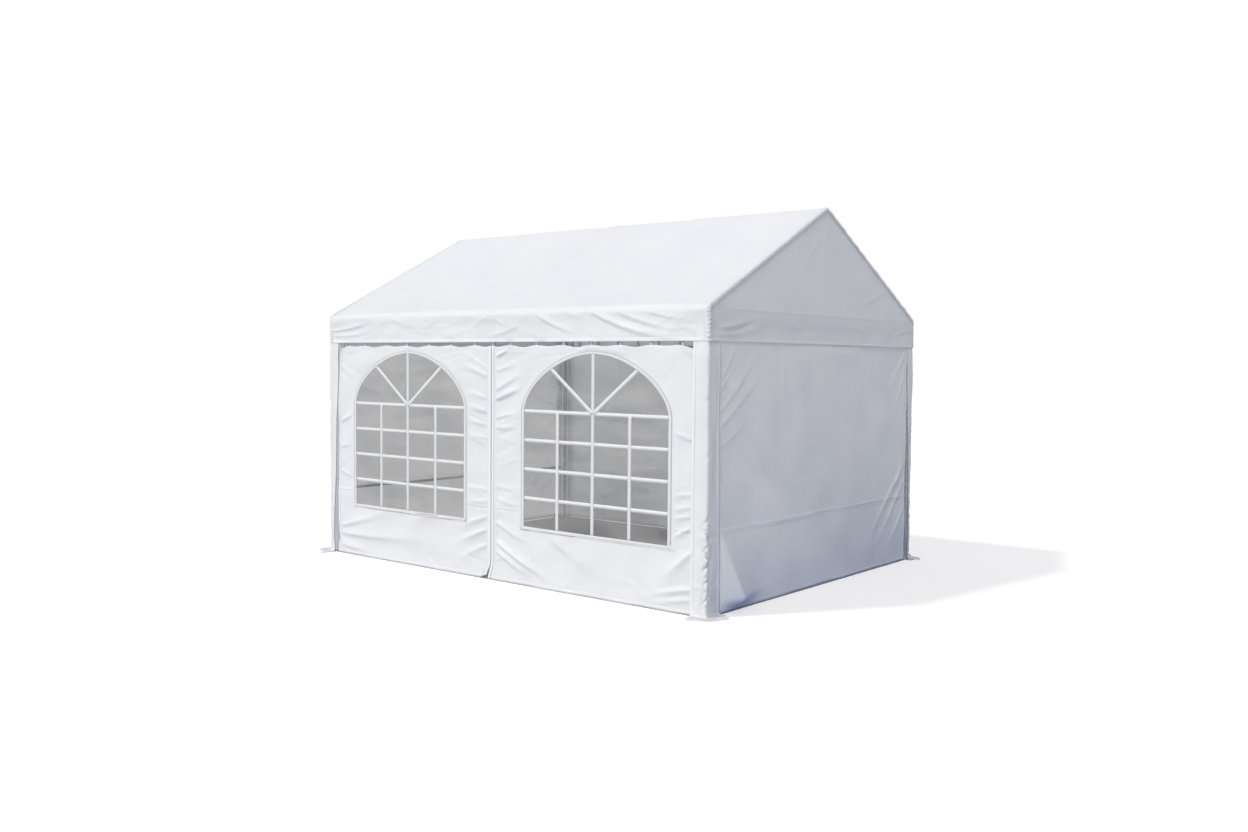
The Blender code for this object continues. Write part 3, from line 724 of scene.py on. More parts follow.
BACK_FOLDS = (
    ((0.045, 1.45), (0.42, 1.6), 0.024, 0.0065), ((0.045, 1.18), (0.5, 1.28), 0.026, 0.007),
    ((0.045, 0.8), (0.46, 0.72), 0.022, 0.006), ((0.045, 0.4), (0.62, 0.12), 0.028, 0.0095),
    ((0.045, 0.25), (0.5, 0.06), 0.022, 0.007), ((1.885, 1.25), (1.55, 1.4), 0.022, 0.007),
    ((1.885, 0.85), (1.5, 0.78), 0.02, 0.006), ((1.885, 0.5), (1.4, 0.22), 0.03, 0.0095),
    ((1.885, 0.16), (1.4, 0.05), 0.022, 0.007), ((0.8, 1.7), (1.05, 1.2), 0.05, 0.004),
    ((1.25, 1.68), (1.18, 1.05), 0.05, 0.0035),
)


def in_window(u, v, middle, grow=0.0):
    """How far a flat place lies inside the arched window: below 1 is inside."""
    half = WINDOW_HALF + grow
    rise = WINDOW_TOP - WINDOW_TRANSOM + grow
    across = np.abs(u - middle) / half
    over = np.maximum(v - WINDOW_TRANSOM, 0) / rise
    arch = (across ** ARCH_POWER + over ** ARCH_POWER) ** (1 / ARCH_POWER)
    return np.where(v < WINDOW_SILL - grow, 2.0, arch)


def side_wall_shape(side, direction, folds, seed, middle=None, far_edge=None, foot_curl=0.0, foot_rise=0.0):
    """A bay of a long wall. side is -1 at the front, direction is 1 for the right bay."""

    def shape(u, v):
        x = u * -side  # the cloth's columns run to the right as seen from outside
        out = x * direction
        height = FOLD_DEPTH * folds_at(x if side < 0 else out, v, folds, 0.015, FOLD_WIDTH)
        height += sum(waves_at(x, v, seed + i, *waves) for i, waves in enumerate(WALL_WAVES))
        height += creases_at(out, v, seed + 2, *WALL_CREASES)
        height += creases_at(out, v - 0.35 * out, seed + 3, *SEAM_CREASES)
        for off, high in PACKING_RIDGES:
            height += high * hump(v - PACKING_CREASE + off, 0.006)
        if middle is not None:
            apart = in_window(x, v, middle, 0.02)
            height = height * (0.03 + 0.97 * smooth((apart - 1.0) / 0.09))
        near_leg = smooth((out - SIDE_HEM - 0.008) / 0.035)
        height = height * near_leg * smooth((TRUSS_X - 0.03 - out) / 0.06)
        if side > 0:
            height = height * smooth((WALL_TOP - 0.004 - v) / 0.05)
        height = np.maximum(height, -0.0015 - 0.15 * np.maximum(WALL_TOP - 0.06 - v, 0))
        height += 0.006 * smooth((0.12 - v) / 0.12) * near_leg * smooth((1.84 - out) / 0.1)
        pull = np.zeros_like(out)
        if far_edge is not None:
            levels, edges = zip(*far_edge)
            pull = (np.interp(v, levels, edges) - (TRUSS_X - 0.09)) * smooth((out - 1.68) / 0.19)
        low_down = smooth((0.17 - v) / 0.17) ** 1.5
        curl = foot_curl * low_down * smooth((0.32 - out) / 0.32)
        rise = foot_rise * smooth((0.12 - v) / 0.12) * smooth((0.11 - out) / 0.11) ** 1.5
        dips = sum(deep * hump(out - far, wide) for far, deep, wide in TOP_DIPS)
        dips = dips + TOP_DROP if side < 0 else 0.4 * dips - BACK_RISE
        level = v - dips * smooth((v - WALL_TOP + 0.10) / 0.10) + rise
        place = direction * (out + pull + curl)
        return np.stack([place, side * (WALL_FACE + height), level], axis=-1)

    return shape


def window_marks(middle, low, high):
    return sorted((low, middle - WINDOW_HALF, middle + WINDOW_HALF, high))


def open_window(cloth, middle):
    """Cuts the arched window out of flat cloth, and draws the cut edge onto the arch."""
    gone = [f for f in cloth.faces if in_window(*f.calc_center_median().xy, middle) < 1]
    bmesh.ops.delete(cloth, geom=gone, context="FACES")
    for vert in cloth.verts:
        over = vert.co.y - WINDOW_TRANSOM
        reach = float(in_window(vert.co.x, vert.co.y, middle))
        if vert.is_boundary and over > 1e-4 and reach < 1.1:
            vert.co.x = middle + (vert.co.x - middle) / reach
            vert.co.y = WINDOW_TRANSOM + over / reach


def hem_bulge(edge, way):
    """The strip at an edge is a hollow hem, which stands out a little. This is its height."""
    def lift(u, v):
        across = np.clip((u - edge) * way / SIDE_HEM, 0, 1)
        return HEM_LIFT + HEM_BULGE * np.sin(math.pi * across) ** 0.7 * smooth((WALL_TOP - v) / 0.03)

    return lift


def make_side_wall(name, node, shape, side, direction, near, far, middle=None):
    low, high = sorted(end * direction * -side for end in (near, far))
    if middle is None:
        columns = stations((low, high), (0.020,))
        rows = stations((WALL_FOOT, WALL_TOP), (0.018,))
    else:
        columns = stations(window_marks(middle, low, high), (0.012, 0.020, 0.012))
        crease = (PACKING_CREASE - 0.026, PACKING_CREASE + 0.010)
        levels = (WALL_FOOT, WINDOW_SILL, *crease, WINDOW_TRANSOM, WALL_TOP)
        rows = stations(levels, (0.0095, 0.0095, 0.004, 0.0105, 0.0095))
    cloth = cut_cloth(columns, rows)
    if middle is not None:
        open_window(cloth, middle)
    area = sheet_area(cloth)
    wall = hang(name, cloth, shape, white, node)
    inner = low if abs(low) < abs(high) else high
    way = 1 if inner == low else -1
    for where, start, length, lift, step in (
        ("middle", inner, way * SIDE_HEM, hem_bulge(inner, way), 0.0052),
        ("corner", low + high - inner, -way * CORNER_HEM, HEM_LIFT, 0.012),
    ):
        across = stations(sorted((start, start + length)), (step,))
        hem(f"{name}_{where}_hem", across, rows, shape, lift)
    cloth = cut_cloth(columns, stations((WALL_FOOT - HEM_PAST, WALL_FOOT + FOOT_HEM), (0.016,)))
    hang(f"{name}_foot_hem", cloth, shape, white, lift=FOOT_LIFT)
    foot = WALL_FOOT + FOOT_HEM - SEAM_IN
    lines = [((low + FOOT_SEAM_SHORT, foot), (high - FOOT_SEAM_SHORT, foot))]
    for u in (inner + way * BULGE_SEAM, inner + way * (SIDE_HEM - BULGE_SEAM)):
        lines.append(((u, WALL_FOOT), (u, WALL_TOP - SEAM_IN)))
    sew(f"{name}_stitching", shape, lines, HEM_LIFT)


front_shapes = {
    "left": side_wall_shape(
        -1, -1, FRONT_LEFT_FOLDS, 31, WINDOW_MIDDLES["left"],
        far_edge=LEFT_EDGE, foot_curl=0.042, foot_rise=0.026,
    ),
    "right": side_wall_shape(-1, 1, FRONT_RIGHT_FOLDS, 37, WINDOW_MIDDLES["right"], foot_curl=-0.036),
}
WALL_FAR = {"left": TRUSS_X - 0.09, "right": TRUSS_X - 0.035}
for end, direction in ENDS:
    make_side_wall(
        f"front_wall_{end}", f"front_panel_{end}", front_shapes[end],
        -1, direction, MIDDLE_GAPS[end], WALL_FAR[end], WINDOW_MIDDLES[end],
    )
    make_side_wall(
        f"back_wall_{end}", f"back_panel_{end}", side_wall_shape(1, direction, BACK_FOLDS, 41 + direction),
        1, direction, MIDDLE_GAPS["right"], WALL_FAR["right"],
    )


# Windows. Clear film is sewn behind the arched opening under a round welt, and the window bars are
# narrow white strips welded onto it: four rows and four columns of panes, and a fan in the arch.
FILM = 0.0005
FILM_BEHIND = -0.0020
WELT_IN = -0.003
WELT_OUT = 0.021
BAR_WIDTH = 0.029
SHADE_LINE_WIDTH = 0.006  # width of the thin ring of painted shade round the welt, which stands for the shadow at its edge
WELT_LIFT = 0.0013
WELT_THICK = 0.0014
SHADE_LINE_LIFT = 0.0006
SHADE_LINE_THICK = 0.0004
WELT_SEAM_LIFT = 0.0015
FAN_ANGLE = math.radians(38)
BAR_THICK = 0.0006
BAR_STEP = 0.02
LEVEL_BAR_LIFT = 0.0008  # above the film; the uprights lie over the level bars
UPRIGHT_LIFT = 0.0015
FILM_TINT = (0.955, 0.945, 0.925, 1)
FILM_CLOUDS = (0.0, 0.17)
FILM_EDGE_ON = 0.03  # how much it mirrors when it is seen straight on
FILM_HAZE = (0.66, 0.65, 0.63, 1)
WELT_WHITE = (0.70, 0.71, 0.72, 1)
# Painted shade: the grey of the thin ring round the welt stands in for the shadow at the welt's outer edge.
SHADE_LINE_GREY = (0.46, 0.47, 0.49, 1)
BAR_WHITE = (0.73, 0.73, 0.75, 1)


def film_finish():
    """Clear film: tinted a little grey, hazy, with soft ripples that catch the light."""
    finish, tree = new_finish("clear_film")
    flat = add_node(tree, "UVMap", uv_map="flat")
    rippled = {"Normal": bumps(tree, noise(tree, flat, 5.0), 0.6, 0.004)}
    clear = add_node(tree, "BsdfTransparent", {"Color": FILM_TINT})
    haze = add_node(tree, "BsdfDiffuse", {"Color": FILM_HAZE, **rippled})
    gloss = add_node(tree, "BsdfGlossy", {"Roughness": 0.12, **rippled})
    facing = add_node(tree, "LayerWeight", {"Blend": 0.5, **rippled}).outputs["Facing"]
    edge_on = spread(tree, reckon(tree, "POWER", facing, 5.0), to=(FILM_EDGE_ON, 1.0))
    smears = {"Vector": flat, "Rotation": (0, 0, 0.7), "Scale": (1, 4, 1)}
    smears = add_node(tree, "Mapping", smears)
    cloudy = spread(tree, noise(tree, smears, 1.6, 6.0), of=(0.3, 0.7), to=FILM_CLOUDS)
    milky = add_node(tree, "MixShader", {0: cloudy, 1: clear, 2: haze})
    return finished(finish, add_node(tree, "MixShader", {0: edge_on, 1: milky, 2: gloss}))


def outline(middle, grow, steps=96):
    """Flat places round the window, anticlockwise from the left sill corner."""
    half = WINDOW_HALF + grow
    rise = WINDOW_TOP - WINDOW_TRANSOM + grow
    low = WINDOW_SILL - grow
    side = steps // 4
    places = [(middle - half + 2 * half * i / side, low) for i in range(side)]
    places += [(middle + half, low + (WINDOW_TRANSOM - low) * i / side) for i in range(side)]
    for i in range(steps):
        across, over = math.cos(math.pi * i / steps), math.sin(math.pi * i / steps)
        across = math.copysign(abs(across) ** (2 / ARCH_POWER), across)
        places.append((middle + half * across, WINDOW_TRANSOM + rise * over ** (2 / ARCH_POWER)))
    places += [(middle - half, WINDOW_TRANSOM + (low - WINDOW_TRANSOM) * i / side) for i in range(side)]
    return places


def ring_of_edges(bm, places):
    verts = [bm.verts.new((u, v, 0)) for u, v in places]
    return [bm.edges.new(pair) for pair in zip(verts, verts[1:] + verts[:1])]


def make_film(end, shape, clear):
    middle = WINDOW_MIDDLES[end]
    half = WINDOW_HALF + FILM_LAP
    columns = stations((middle - half, middle + half), (0.030,))
    rows = stations((WINDOW_SILL - FILM_LAP, WINDOW_TOP + FILM_LAP), (0.030,))
    cloth = cut_cloth(columns, rows)
    places = outline(middle, FILM_LAP)
    for one, two in zip(places, places[1:] + places[:1]):
        if one[1] > WINDOW_TRANSOM - 1e-6:
            trim_cloth(cloth, one, (two[1] - one[1], one[0] - two[0]))
    area = sheet_area(cloth)
    name = f"window_pane_{end}"
    film = hang(
        name, cloth, shape, clear, f"window_film_{end}", lift=FILM_BEHIND, thickness=FILM, slot="clear_film"
    )


def ring_of_cloth(middle, outer, inner, cuts=0):
    """Flat cloth between two outlines of the window."""
    bm = bmesh.new()
    edges = ring_of_edges(bm, outline(middle, outer)) + ring_of_edges(bm, outline(middle, inner))
    made = bmesh.ops.bridge_loops(bm, edges=edges)
    if cuts:
        across = [edge for edge in made["edges"] if edge not in edges]
        bmesh.ops.subdivide_edges(bm, edges=across, cuts=cuts, use_grid_fill=True)
    bmesh.ops.recalc_face_normals(bm, faces=bm.faces)
    if bm.faces[:][0].normal.z < 0:
        bmesh.ops.reverse_faces(bm, faces=bm.faces)
    return bm


def make_welt(end, shape, finish, shade_line):
    """The rounded strip that is sewn over the cut edge of the wall."""
    middle = WINDOW_MIDDLES[end]
    welt = ring_of_cloth(middle, WELT_OUT, WELT_IN, cuts=2)
    hang(f"window_welt_{end}", welt, shape, finish, lift=WELT_LIFT, thickness=WELT_THICK)
    # A thin grey ring of painted shade lies round the welt, in place of the shadow at its outer edge.
    shade_ring = ring_of_cloth(middle, WELT_OUT + SHADE_LINE_WIDTH, WELT_OUT)
    hang(f"window_shade_line_{end}", shade_ring, shape, shade_line, lift=SHADE_LINE_LIFT, thickness=SHADE_LINE_THICK)
    places = outline(middle, WELT_OUT - SEAM_IN)
    lines = list(zip(places, places[1:] + places[:1]))
    sew(f"window_stitching_{end}", shape, lines, WELT_SEAM_LIFT)


def strip_between(bm, start, end):
    """A window bar, as a flat strip of cloth between two flat places."""
    start, end = Vector((*start, 0)), Vector((*end, 0))
    run = end - start
    count = max(2, math.ceil(run.length / BAR_STEP))
    grid = bmesh.ops.create_grid(bm, x_segments=count, y_segments=1, size=0.5)
    turn = Matrix.Rotation(math.atan2(run.y, run.x), 4, "Z")
    size = Matrix.Diagonal((run.length, BAR_WIDTH, 1, 1))
    bmesh.ops.transform(bm, matrix=Matrix.Translation((start + end) / 2) @ turn @ size, verts=grid["verts"])


def make_bars(end, shape, finish):
    middle = WINDOW_MIDDLES[end]
    rise = WINDOW_TOP - WINDOW_TRANSOM
    pane = (WINDOW_TRANSOM - WINDOW_SILL) / 4
    level, upright = bmesh.new(), bmesh.new()
    for row in range(1, 5):
        v = WINDOW_SILL + pane * row
        strip_between(level, (middle - WINDOW_HALF, v), (middle + WINDOW_HALF, v))
    for column in (-1, 0, 1):
        u = middle + WINDOW_HALF / 2 * column
        strip_between(upright, (u, WINDOW_SILL), (u, WINDOW_TOP if column == 0 else WINDOW_TRANSOM))
    lean_x, lean_z = math.cos(FAN_ANGLE), math.sin(FAN_ANGLE)
    reach = (lean_x / WINDOW_HALF) ** ARCH_POWER + (lean_z / rise) ** ARCH_POWER
    reach = reach ** (-1 / ARCH_POWER)
    for way in (-1, 1):
        tip = (middle + way * lean_x * reach, WINDOW_TRANSOM + lean_z * reach)
        strip_between(upright, (middle, WINDOW_TRANSOM), tip)
    for name, bars, above in (("bars", level, LEVEL_BAR_LIFT), ("uprights", upright, UPRIGHT_LIFT)):
        hang(f"window_{name}_{end}", bars, shape, finish, lift=FILM_BEHIND + above, thickness=BAR_THICK)


def make_windows():
    clear = film_finish()
    welt = cloth_finish("welt_cloth", WELT_WHITE, WELT_WHITE, 0.1)
    shade_line = cloth_finish("painted_groove_shade", SHADE_LINE_GREY, SHADE_LINE_GREY, 0.1)
    bars = cloth_finish("window_bar", BAR_WHITE, BAR_WHITE, 0.12, gloss=0.4)
    for end, shape in front_shapes.items():
        make_welt(end, shape, welt, shade_line)
        make_bars(end, shape, bars)
        make_film(end, shape, clear)


make_windows()


# Straps. Each sheet of a long wall hangs on loops of flat white webbing, coloured greyer as painted shade.
# They are sewn behind its top edge, and go up behind the valance and round the eave bar.
bar_low, bar_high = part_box("eave_bar_front_right")
BAR_Y = -(bar_low.y + bar_high.y) / 2
BAR_Z = (bar_low.z + bar_high.z) / 2
BAR_RADIUS = (bar_high.z - bar_low.z) / 2
STRAP_WIDTH = 0.025
STRAP_THICK = 0.0012
STRAP_FOOT = 0.05  # how far a strap reaches down behind the wall
STRAP_CLEAR = 0.0006  # between the strap and the bar
STRAP_BEHIND = (0.0075, 0.0120)  # how far its two layers lie behind the wall's outer face
STRAP_STEPS = 12
STRAP_FROM, STRAP_TURN = math.radians(8), math.radians(238)  # its turn round the bar
STRAPS = 7
STRAPS_IN = 0.06  # from the trusses
# Painted shade: the webbing is white, and this greyer colour makes the straps look shaded in the gap under
# the valance.
WEBBING_SHADE_GREY = (0.65, 0.67, 0.70, 1)


def strap_line():
    """The strap's run in (distance from the middle, height): up from the wall, round the bar and back."""
    ring = BAR_RADIUS + STRAP_THICK + STRAP_CLEAR
    outer, inner = (WALL_FACE - behind for behind in STRAP_BEHIND)
    run = [(outer, WALL_TOP + up) for up in (-0.045, -STRAP_FOOT, 0.04)]
    for step in range(STRAP_STEPS + 1):
        turn = STRAP_FROM + STRAP_TURN * step / STRAP_STEPS
        run.append((BAR_Y + ring * math.cos(turn), BAR_Z + ring * math.sin(turn)))
    return run + [(inner, WALL_TOP + up) for up in (0.06, -STRAP_FOOT)]


def make_straps(name, side, direction):
    bm = bmesh.new()
    for strap in range(STRAPS):
        middle = STRAPS_IN + (TRUSS_X - 2 * STRAPS_IN) * (strap + 0.5) / STRAPS
        rows = []
        for out, level in strap_line():
            edges = (direction * (middle + way * STRAP_WIDTH / 2) for way in (-1, 1))
            rows.append(bm.edges.new([bm.verts.new((x, side * out, level)) for x in edges]))
        for one, two in zip(rows, rows[1:]):
            bmesh.ops.bridge_loops(bm, edges=[one, two])
    bmesh.ops.recalc_face_normals(bm, faces=bm.faces)
    lay_flat(bm, 0, 2)
    belongs(thicken(show(name, bm, webbing), STRAP_THICK, 0), "white_cloth")


webbing = cloth_finish("webbing", WEBBING_SHADE_GREY, WEBBING_SHADE_GREY, 0.05)
for end, direction in ENDS:
    make_straps(f"front_wall_{end}_straps", -1, direction)
    make_straps(f"back_wall_{end}_straps", 1, direction)


# End walls. One blank sheet closes each gable end below the eaves. It hangs from the tie bar behind the
# gable valance, and its edges lie under the corner covers.
END_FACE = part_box("end_wall_right")[1].x
END_TOP = 1.930
END_HALF = 1.465
END_FOOT = 0.005
END_HEM = 0.025
# The zipped edge stands off the back corner of the right end, and leaves a slit beside the cover.
END_EDGES = {"left": (-END_HALF, END_HALF), "right": (-END_HALF, 1.425)}
END_STEPS = {"left": (0.022, 0.024, 0.014), "right": (0.012, 0.024, 0.014)}  # near, middle and far columns
# Painted shade: the grey strip behind the left end wall at its packing crease stands in for the crease's
# dark shaded line.
CREASE_SHADE_GREY = (0.38, 0.40, 0.43, 1)
CREASE_STRIP_LEVELS = (0.523, 0.544)
CREASE_STRIP_BEHIND = -0.0022
CREASE_STRIP_THICK = 0.0008
END_PACKING_RIDGE = {"left": 0.010, "right": 0.0034}
END_CREASES = (110, ((-1.45, 1.45), (0.02, 1.85)), 0.0026, 0.9)
END_WAVES = ((0.40, 0.0040), (1.4, 0.0060))
END_FOLD_DEPTH = 1.2
RIGHT_END_FOLDS = (
    ((-1.367, 1.56), (-1.17, 1.81), 0.016, 0.008), ((-1.387, 1.471), (-1.22, 1.64), 0.014, 0.006),
    ((-1.387, 1.41), (-1.06, 1.59), 0.018, 0.006), ((-1.39, 1.33), (-0.88, 1.76), 0.026, 0.008),
    ((-1.39, 1.23), (-0.8, 1.64), 0.03, 0.0065), ((-1.39, 1.09), (-0.95, 1.33), 0.03, 0.0045),
    ((-0.6, 1.78), (-0.55, 1.2), 0.05, 0.004), ((1.4, 0.86), (0.7, 0.17), 0.032, 0.0125),
    ((1.405, 0.69), (0.9, 0.17), 0.03, 0.0105), ((1.413, 0.47), (1.08, 0.12), 0.026, 0.01),
    ((1.39, 0.95), (1.15, 0.56), 0.022, 0.006), ((1.39, 1.78), (1.05, 1.4), 0.028, 0.008),
    ((1.39, 1.6), (1.18, 1.26), 0.022, 0.006), ((0.4, 1.79), (0.3, 1.3), 0.06, 0.0035),
)
LEFT_END_FOLDS = (
    ((-1.39, 1.55), (-1.0, 1.78), 0.018, 0.007), ((-1.39, 0.7), (-0.8, 0.3), 0.024, 0.0085),
    ((1.39, 1.5), (0.95, 1.78), 0.02, 0.011), ((1.4, 1.36), (1.02, 1.52), 0.022, 0.012),
    ((1.4, 1.17), (1.05, 1.34), 0.018, 0.011), ((1.4, 1.05), (1.0, 0.92), 0.02, 0.011),
    ((1.4, 0.9), (0.95, 0.62), 0.022, 0.013), ((1.4, 0.75), (0.85, 0.25), 0.024, 0.015),
    ((1.4, 0.55), (1.0, 0.15), 0.02, 0.014), ((1.4, 0.36), (1.08, 0.06), 0.02, 0.012),
    ((0.1, 1.8), (0.05, 1.2), 0.06, 0.004),
)
# The loose near foot of the right end is folded forward beside the corner cover, up to this height.
FLAP_START, FLAP_TOP, FLAP_TURN = -1.366, 0.560, 0.110
FLAP_WIDE, FLAP_SLOPE, FLAP_FALL = 0.128, 1.00, 0.22


def forward_flap(y, z):
    """How far the loose foot stands out: steeply from the cover to a sharp fold, then slowly back."""
    wide = FLAP_WIDE * np.clip((FLAP_TOP - z) / (FLAP_TOP - FLAP_TURN), 0, 1)
    beyond = y - FLAP_START
    past = np.maximum(beyond - wide, 0) / FLAP_FALL
    stands = FLAP_SLOPE * np.clip(beyond, 0, wide) * np.exp(-(past**1.2))
    return stands * (0.10 + 0.90 * smooth(z / FLAP_TURN))


def end_wall_shape(end, direction, folds):
    seed = 51 + direction

    def shape(u, v):
        y = u * direction
        height = END_FOLD_DEPTH * folds_at(y, v, folds, 0.006)
        height += sum(waves_at(y, v, seed + i, *waves) for i, waves in enumerate(END_WAVES))
        height += creases_at(y, v, seed + 2, *END_CREASES)
        height += END_PACKING_RIDGE[end] * hump(v - PACKING_CREASE, 0.009)
        height = height * smooth((1.83 - v) / 0.10) * smooth((1.47 - np.abs(y)) / 0.07)
        height = np.minimum(height, 0.0045 + 0.30 * np.maximum(1.372 - np.abs(y), 0))
        height += 0.005 * smooth((0.10 - v) / 0.10) * smooth((1.42 - np.abs(y)) / 0.1)
        if end == "right":
            height += forward_flap(y, v)
        return np.stack([direction * (END_FACE + height), y, v], axis=-1)

    return shape


def make_end_wall(end, direction, folds, tape_and_crease_shade):
    shape = end_wall_shape(end, direction, folds)
    near, far = END_EDGES[end]
    columns = stations((near, near + 0.50, far - 0.70, far), END_STEPS[end])
    if direction < 0:
        columns = [-y for y in reversed(columns)]
    low, high = columns[0], columns[-1]
    crease = (PACKING_CREASE - 0.016, PACKING_CREASE + 0.016)
    rows = stations((END_FOOT, *crease, END_TOP), (0.0145, 0.0045, 0.0145))
    wall = hang(f"end_wall_cloth_{end}", cut_cloth(columns, rows), shape, white, f"end_wall_{end}")
    strip = cut_cloth(stations((low + 0.01, high - 0.01), (0.03,)), stations(CREASE_STRIP_LEVELS, (0.010,)))
    trims = [hang(f"end_wall_tape_and_crease_shade_{end}", strip, shape, tape_and_crease_shade, lift=CREASE_STRIP_BEHIND, thickness=CREASE_STRIP_THICK)]
    for where, ends in (("near", (low, low + END_HEM)), ("far", (high - END_HEM, high))):
        trims.append(hem(f"end_wall_{where}_hem_{end}", stations(ends, (0.0125,)), rows, shape))
    strip = cut_cloth(columns, stations((END_FOOT - HEM_PAST, END_FOOT + FOOT_HEM), (0.016,)))
    trims.append(hang(f"end_wall_foot_hem_{end}", strip, shape, white, lift=FOOT_LIFT))
    foot = END_FOOT + FOOT_HEM - SEAM_IN
    lines = [((low + FOOT_SEAM_SHORT, foot), (high - FOOT_SEAM_SHORT, foot))]
    for u in (low + END_HEM - SEAM_IN, high - END_HEM + SEAM_IN):
        lines.append(((u, END_FOOT), (u, END_TOP - SEAM_IN)))
    trims.append(sew(f"end_wall_stitching_{end}", shape, lines, HEM_LIFT))


# The left end's strip is painted shade for the dark line at its packing crease; the right end's strip is
# white cloth.
make_end_wall("left", -1, LEFT_END_FOLDS, cloth_finish("painted_crease_shade", CREASE_SHADE_GREY, CREASE_SHADE_GREY, 0.05))
make_end_wall("right", 1, RIGHT_END_FOLDS, hem_white)


# Corner covers. A strip of cloth is folded round each corner leg from behind the valances to the ground,
# and spreads over the foot plate in two soft lobes. Its edges are hemmed, its fold is gathered a little.
COVER_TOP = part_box("corner_cover_front_right")[1].z
COVER_X = END_FACE + 0.0017
COVER_Y = WALL_FACE + 0.0017
COVER_FOLD = 0.012
COVER_STANDS_OFF = 0.0060
COVER_BEND = 0.022
COVER_LOW = 0.004  # the flap's height above the ground
COVER_KNEE = COVER_LOW + COVER_BEND
FLAP_ROWS = 0.137  # length of the cloth's rows that become the bend and the flap
COVER_HEM = 0.028
COVER_GATHERS = 0.031  # length of the small puckers down the fold
# How much a cover is crumpled, and the steps of its rows. The front right one is crumpled the most.
CRUMPLED_MOST = (1.4, (0.008, 0.0035, 0.0055, 0.014))
CRUMPLED_LESS = (0.5, (0.012, 0.006, 0.013, 0.020))
# Widths of the arms beside the fold, at rising heights, as (height, width).
STRAIGHT_FRONT = ((0.0, 0.112), (0.1, 0.120), (1.9, 0.120))
STRAIGHT_END = ((0.0, 0.150), (0.36, 0.142), (1.3, 0.118), (1.9, 0.130))
SLIT_FRONT = ((0.0, 0.066), (0.15, 0.052), (0.40, 0.061), (0.71, 0.082), (1.15, 0.092), (1.5, 0.118),
              (1.9, 0.112))
SLIT_END = ((0.0, 0.026), (0.16, 0.028), (0.68, 0.042), (1.03, 0.056), (1.47, 0.098), (1.9, 0.110))
# Each cover's way along the tent, its side, and its arms beside the long wall and the end wall.
COVERS = {
    "front_right": (1, -1, STRAIGHT_FRONT, STRAIGHT_END),
    "front_left": (-1, -1, SLIT_FRONT, STRAIGHT_END),
    "back_right": (1, 1, STRAIGHT_FRONT, SLIT_END),
    "back_left": (-1, 1, STRAIGHT_FRONT, STRAIGHT_END),
}
COVER_ARM = 0.150
RETURN_DEPTH = 0.050
# Where the fold is crumpled, round the corner and in height.
CORNER_CREASES = (20, ((-0.010, 0.045), (0.05, 0.60)), 0.0024, 1.0)
COVER_FOLDS = (
    ((0.006, 0.52), (0.03, 0.36), 0.006, 0.005), ((0.002, 0.4), (0.016, 0.25), 0.006, 0.006),
    ((0.014, 0.3), (0.004, 0.14), 0.006, 0.006), ((0.004, 0.19), (0.05, 0.09), 0.008, 0.011),
    ((-0.02, 0.22), (-0.05, 0.06), 0.01, 0.005), ((0.045, 0.24), (0.06, 0.06), 0.008, 0.005),
    ((-0.08, 0.2), (-0.075, 0.04), 0.009, 0.004),
)
# Dents along the corner fold of a cover: height, lean, depth and how tall each one is.
CORNER_DENTS = (
    (0.120, 1.2, 0.0060, 0.010), (0.178, -1.0, 0.0040, 0.010), (0.236, 1.1, 0.0055, 0.012),
    (0.335, 1.0, 0.0100, 0.017), (0.412, -1.3, 0.0115, 0.016), (0.468, 1.3, 0.0050, 0.010),
    (0.552, -0.9, 0.0105, 0.020), (0.640, 1.2, 0.0070, 0.014), (0.735, -1.0, 0.0050, 0.012),
    (0.900, -0.8, 0.0040, 0.011), (1.060, 0.9, 0.0045, 0.012), (1.250, -0.7, 0.0040, 0.010),
    (1.430, 0.8, 0.0045, 0.012), (1.640, -0.8, 0.0040, 0.010),
)


def width_at(v, arm):
    """Width of a cover's arm at a height."""
    return np.interp(v, *zip(*arm))


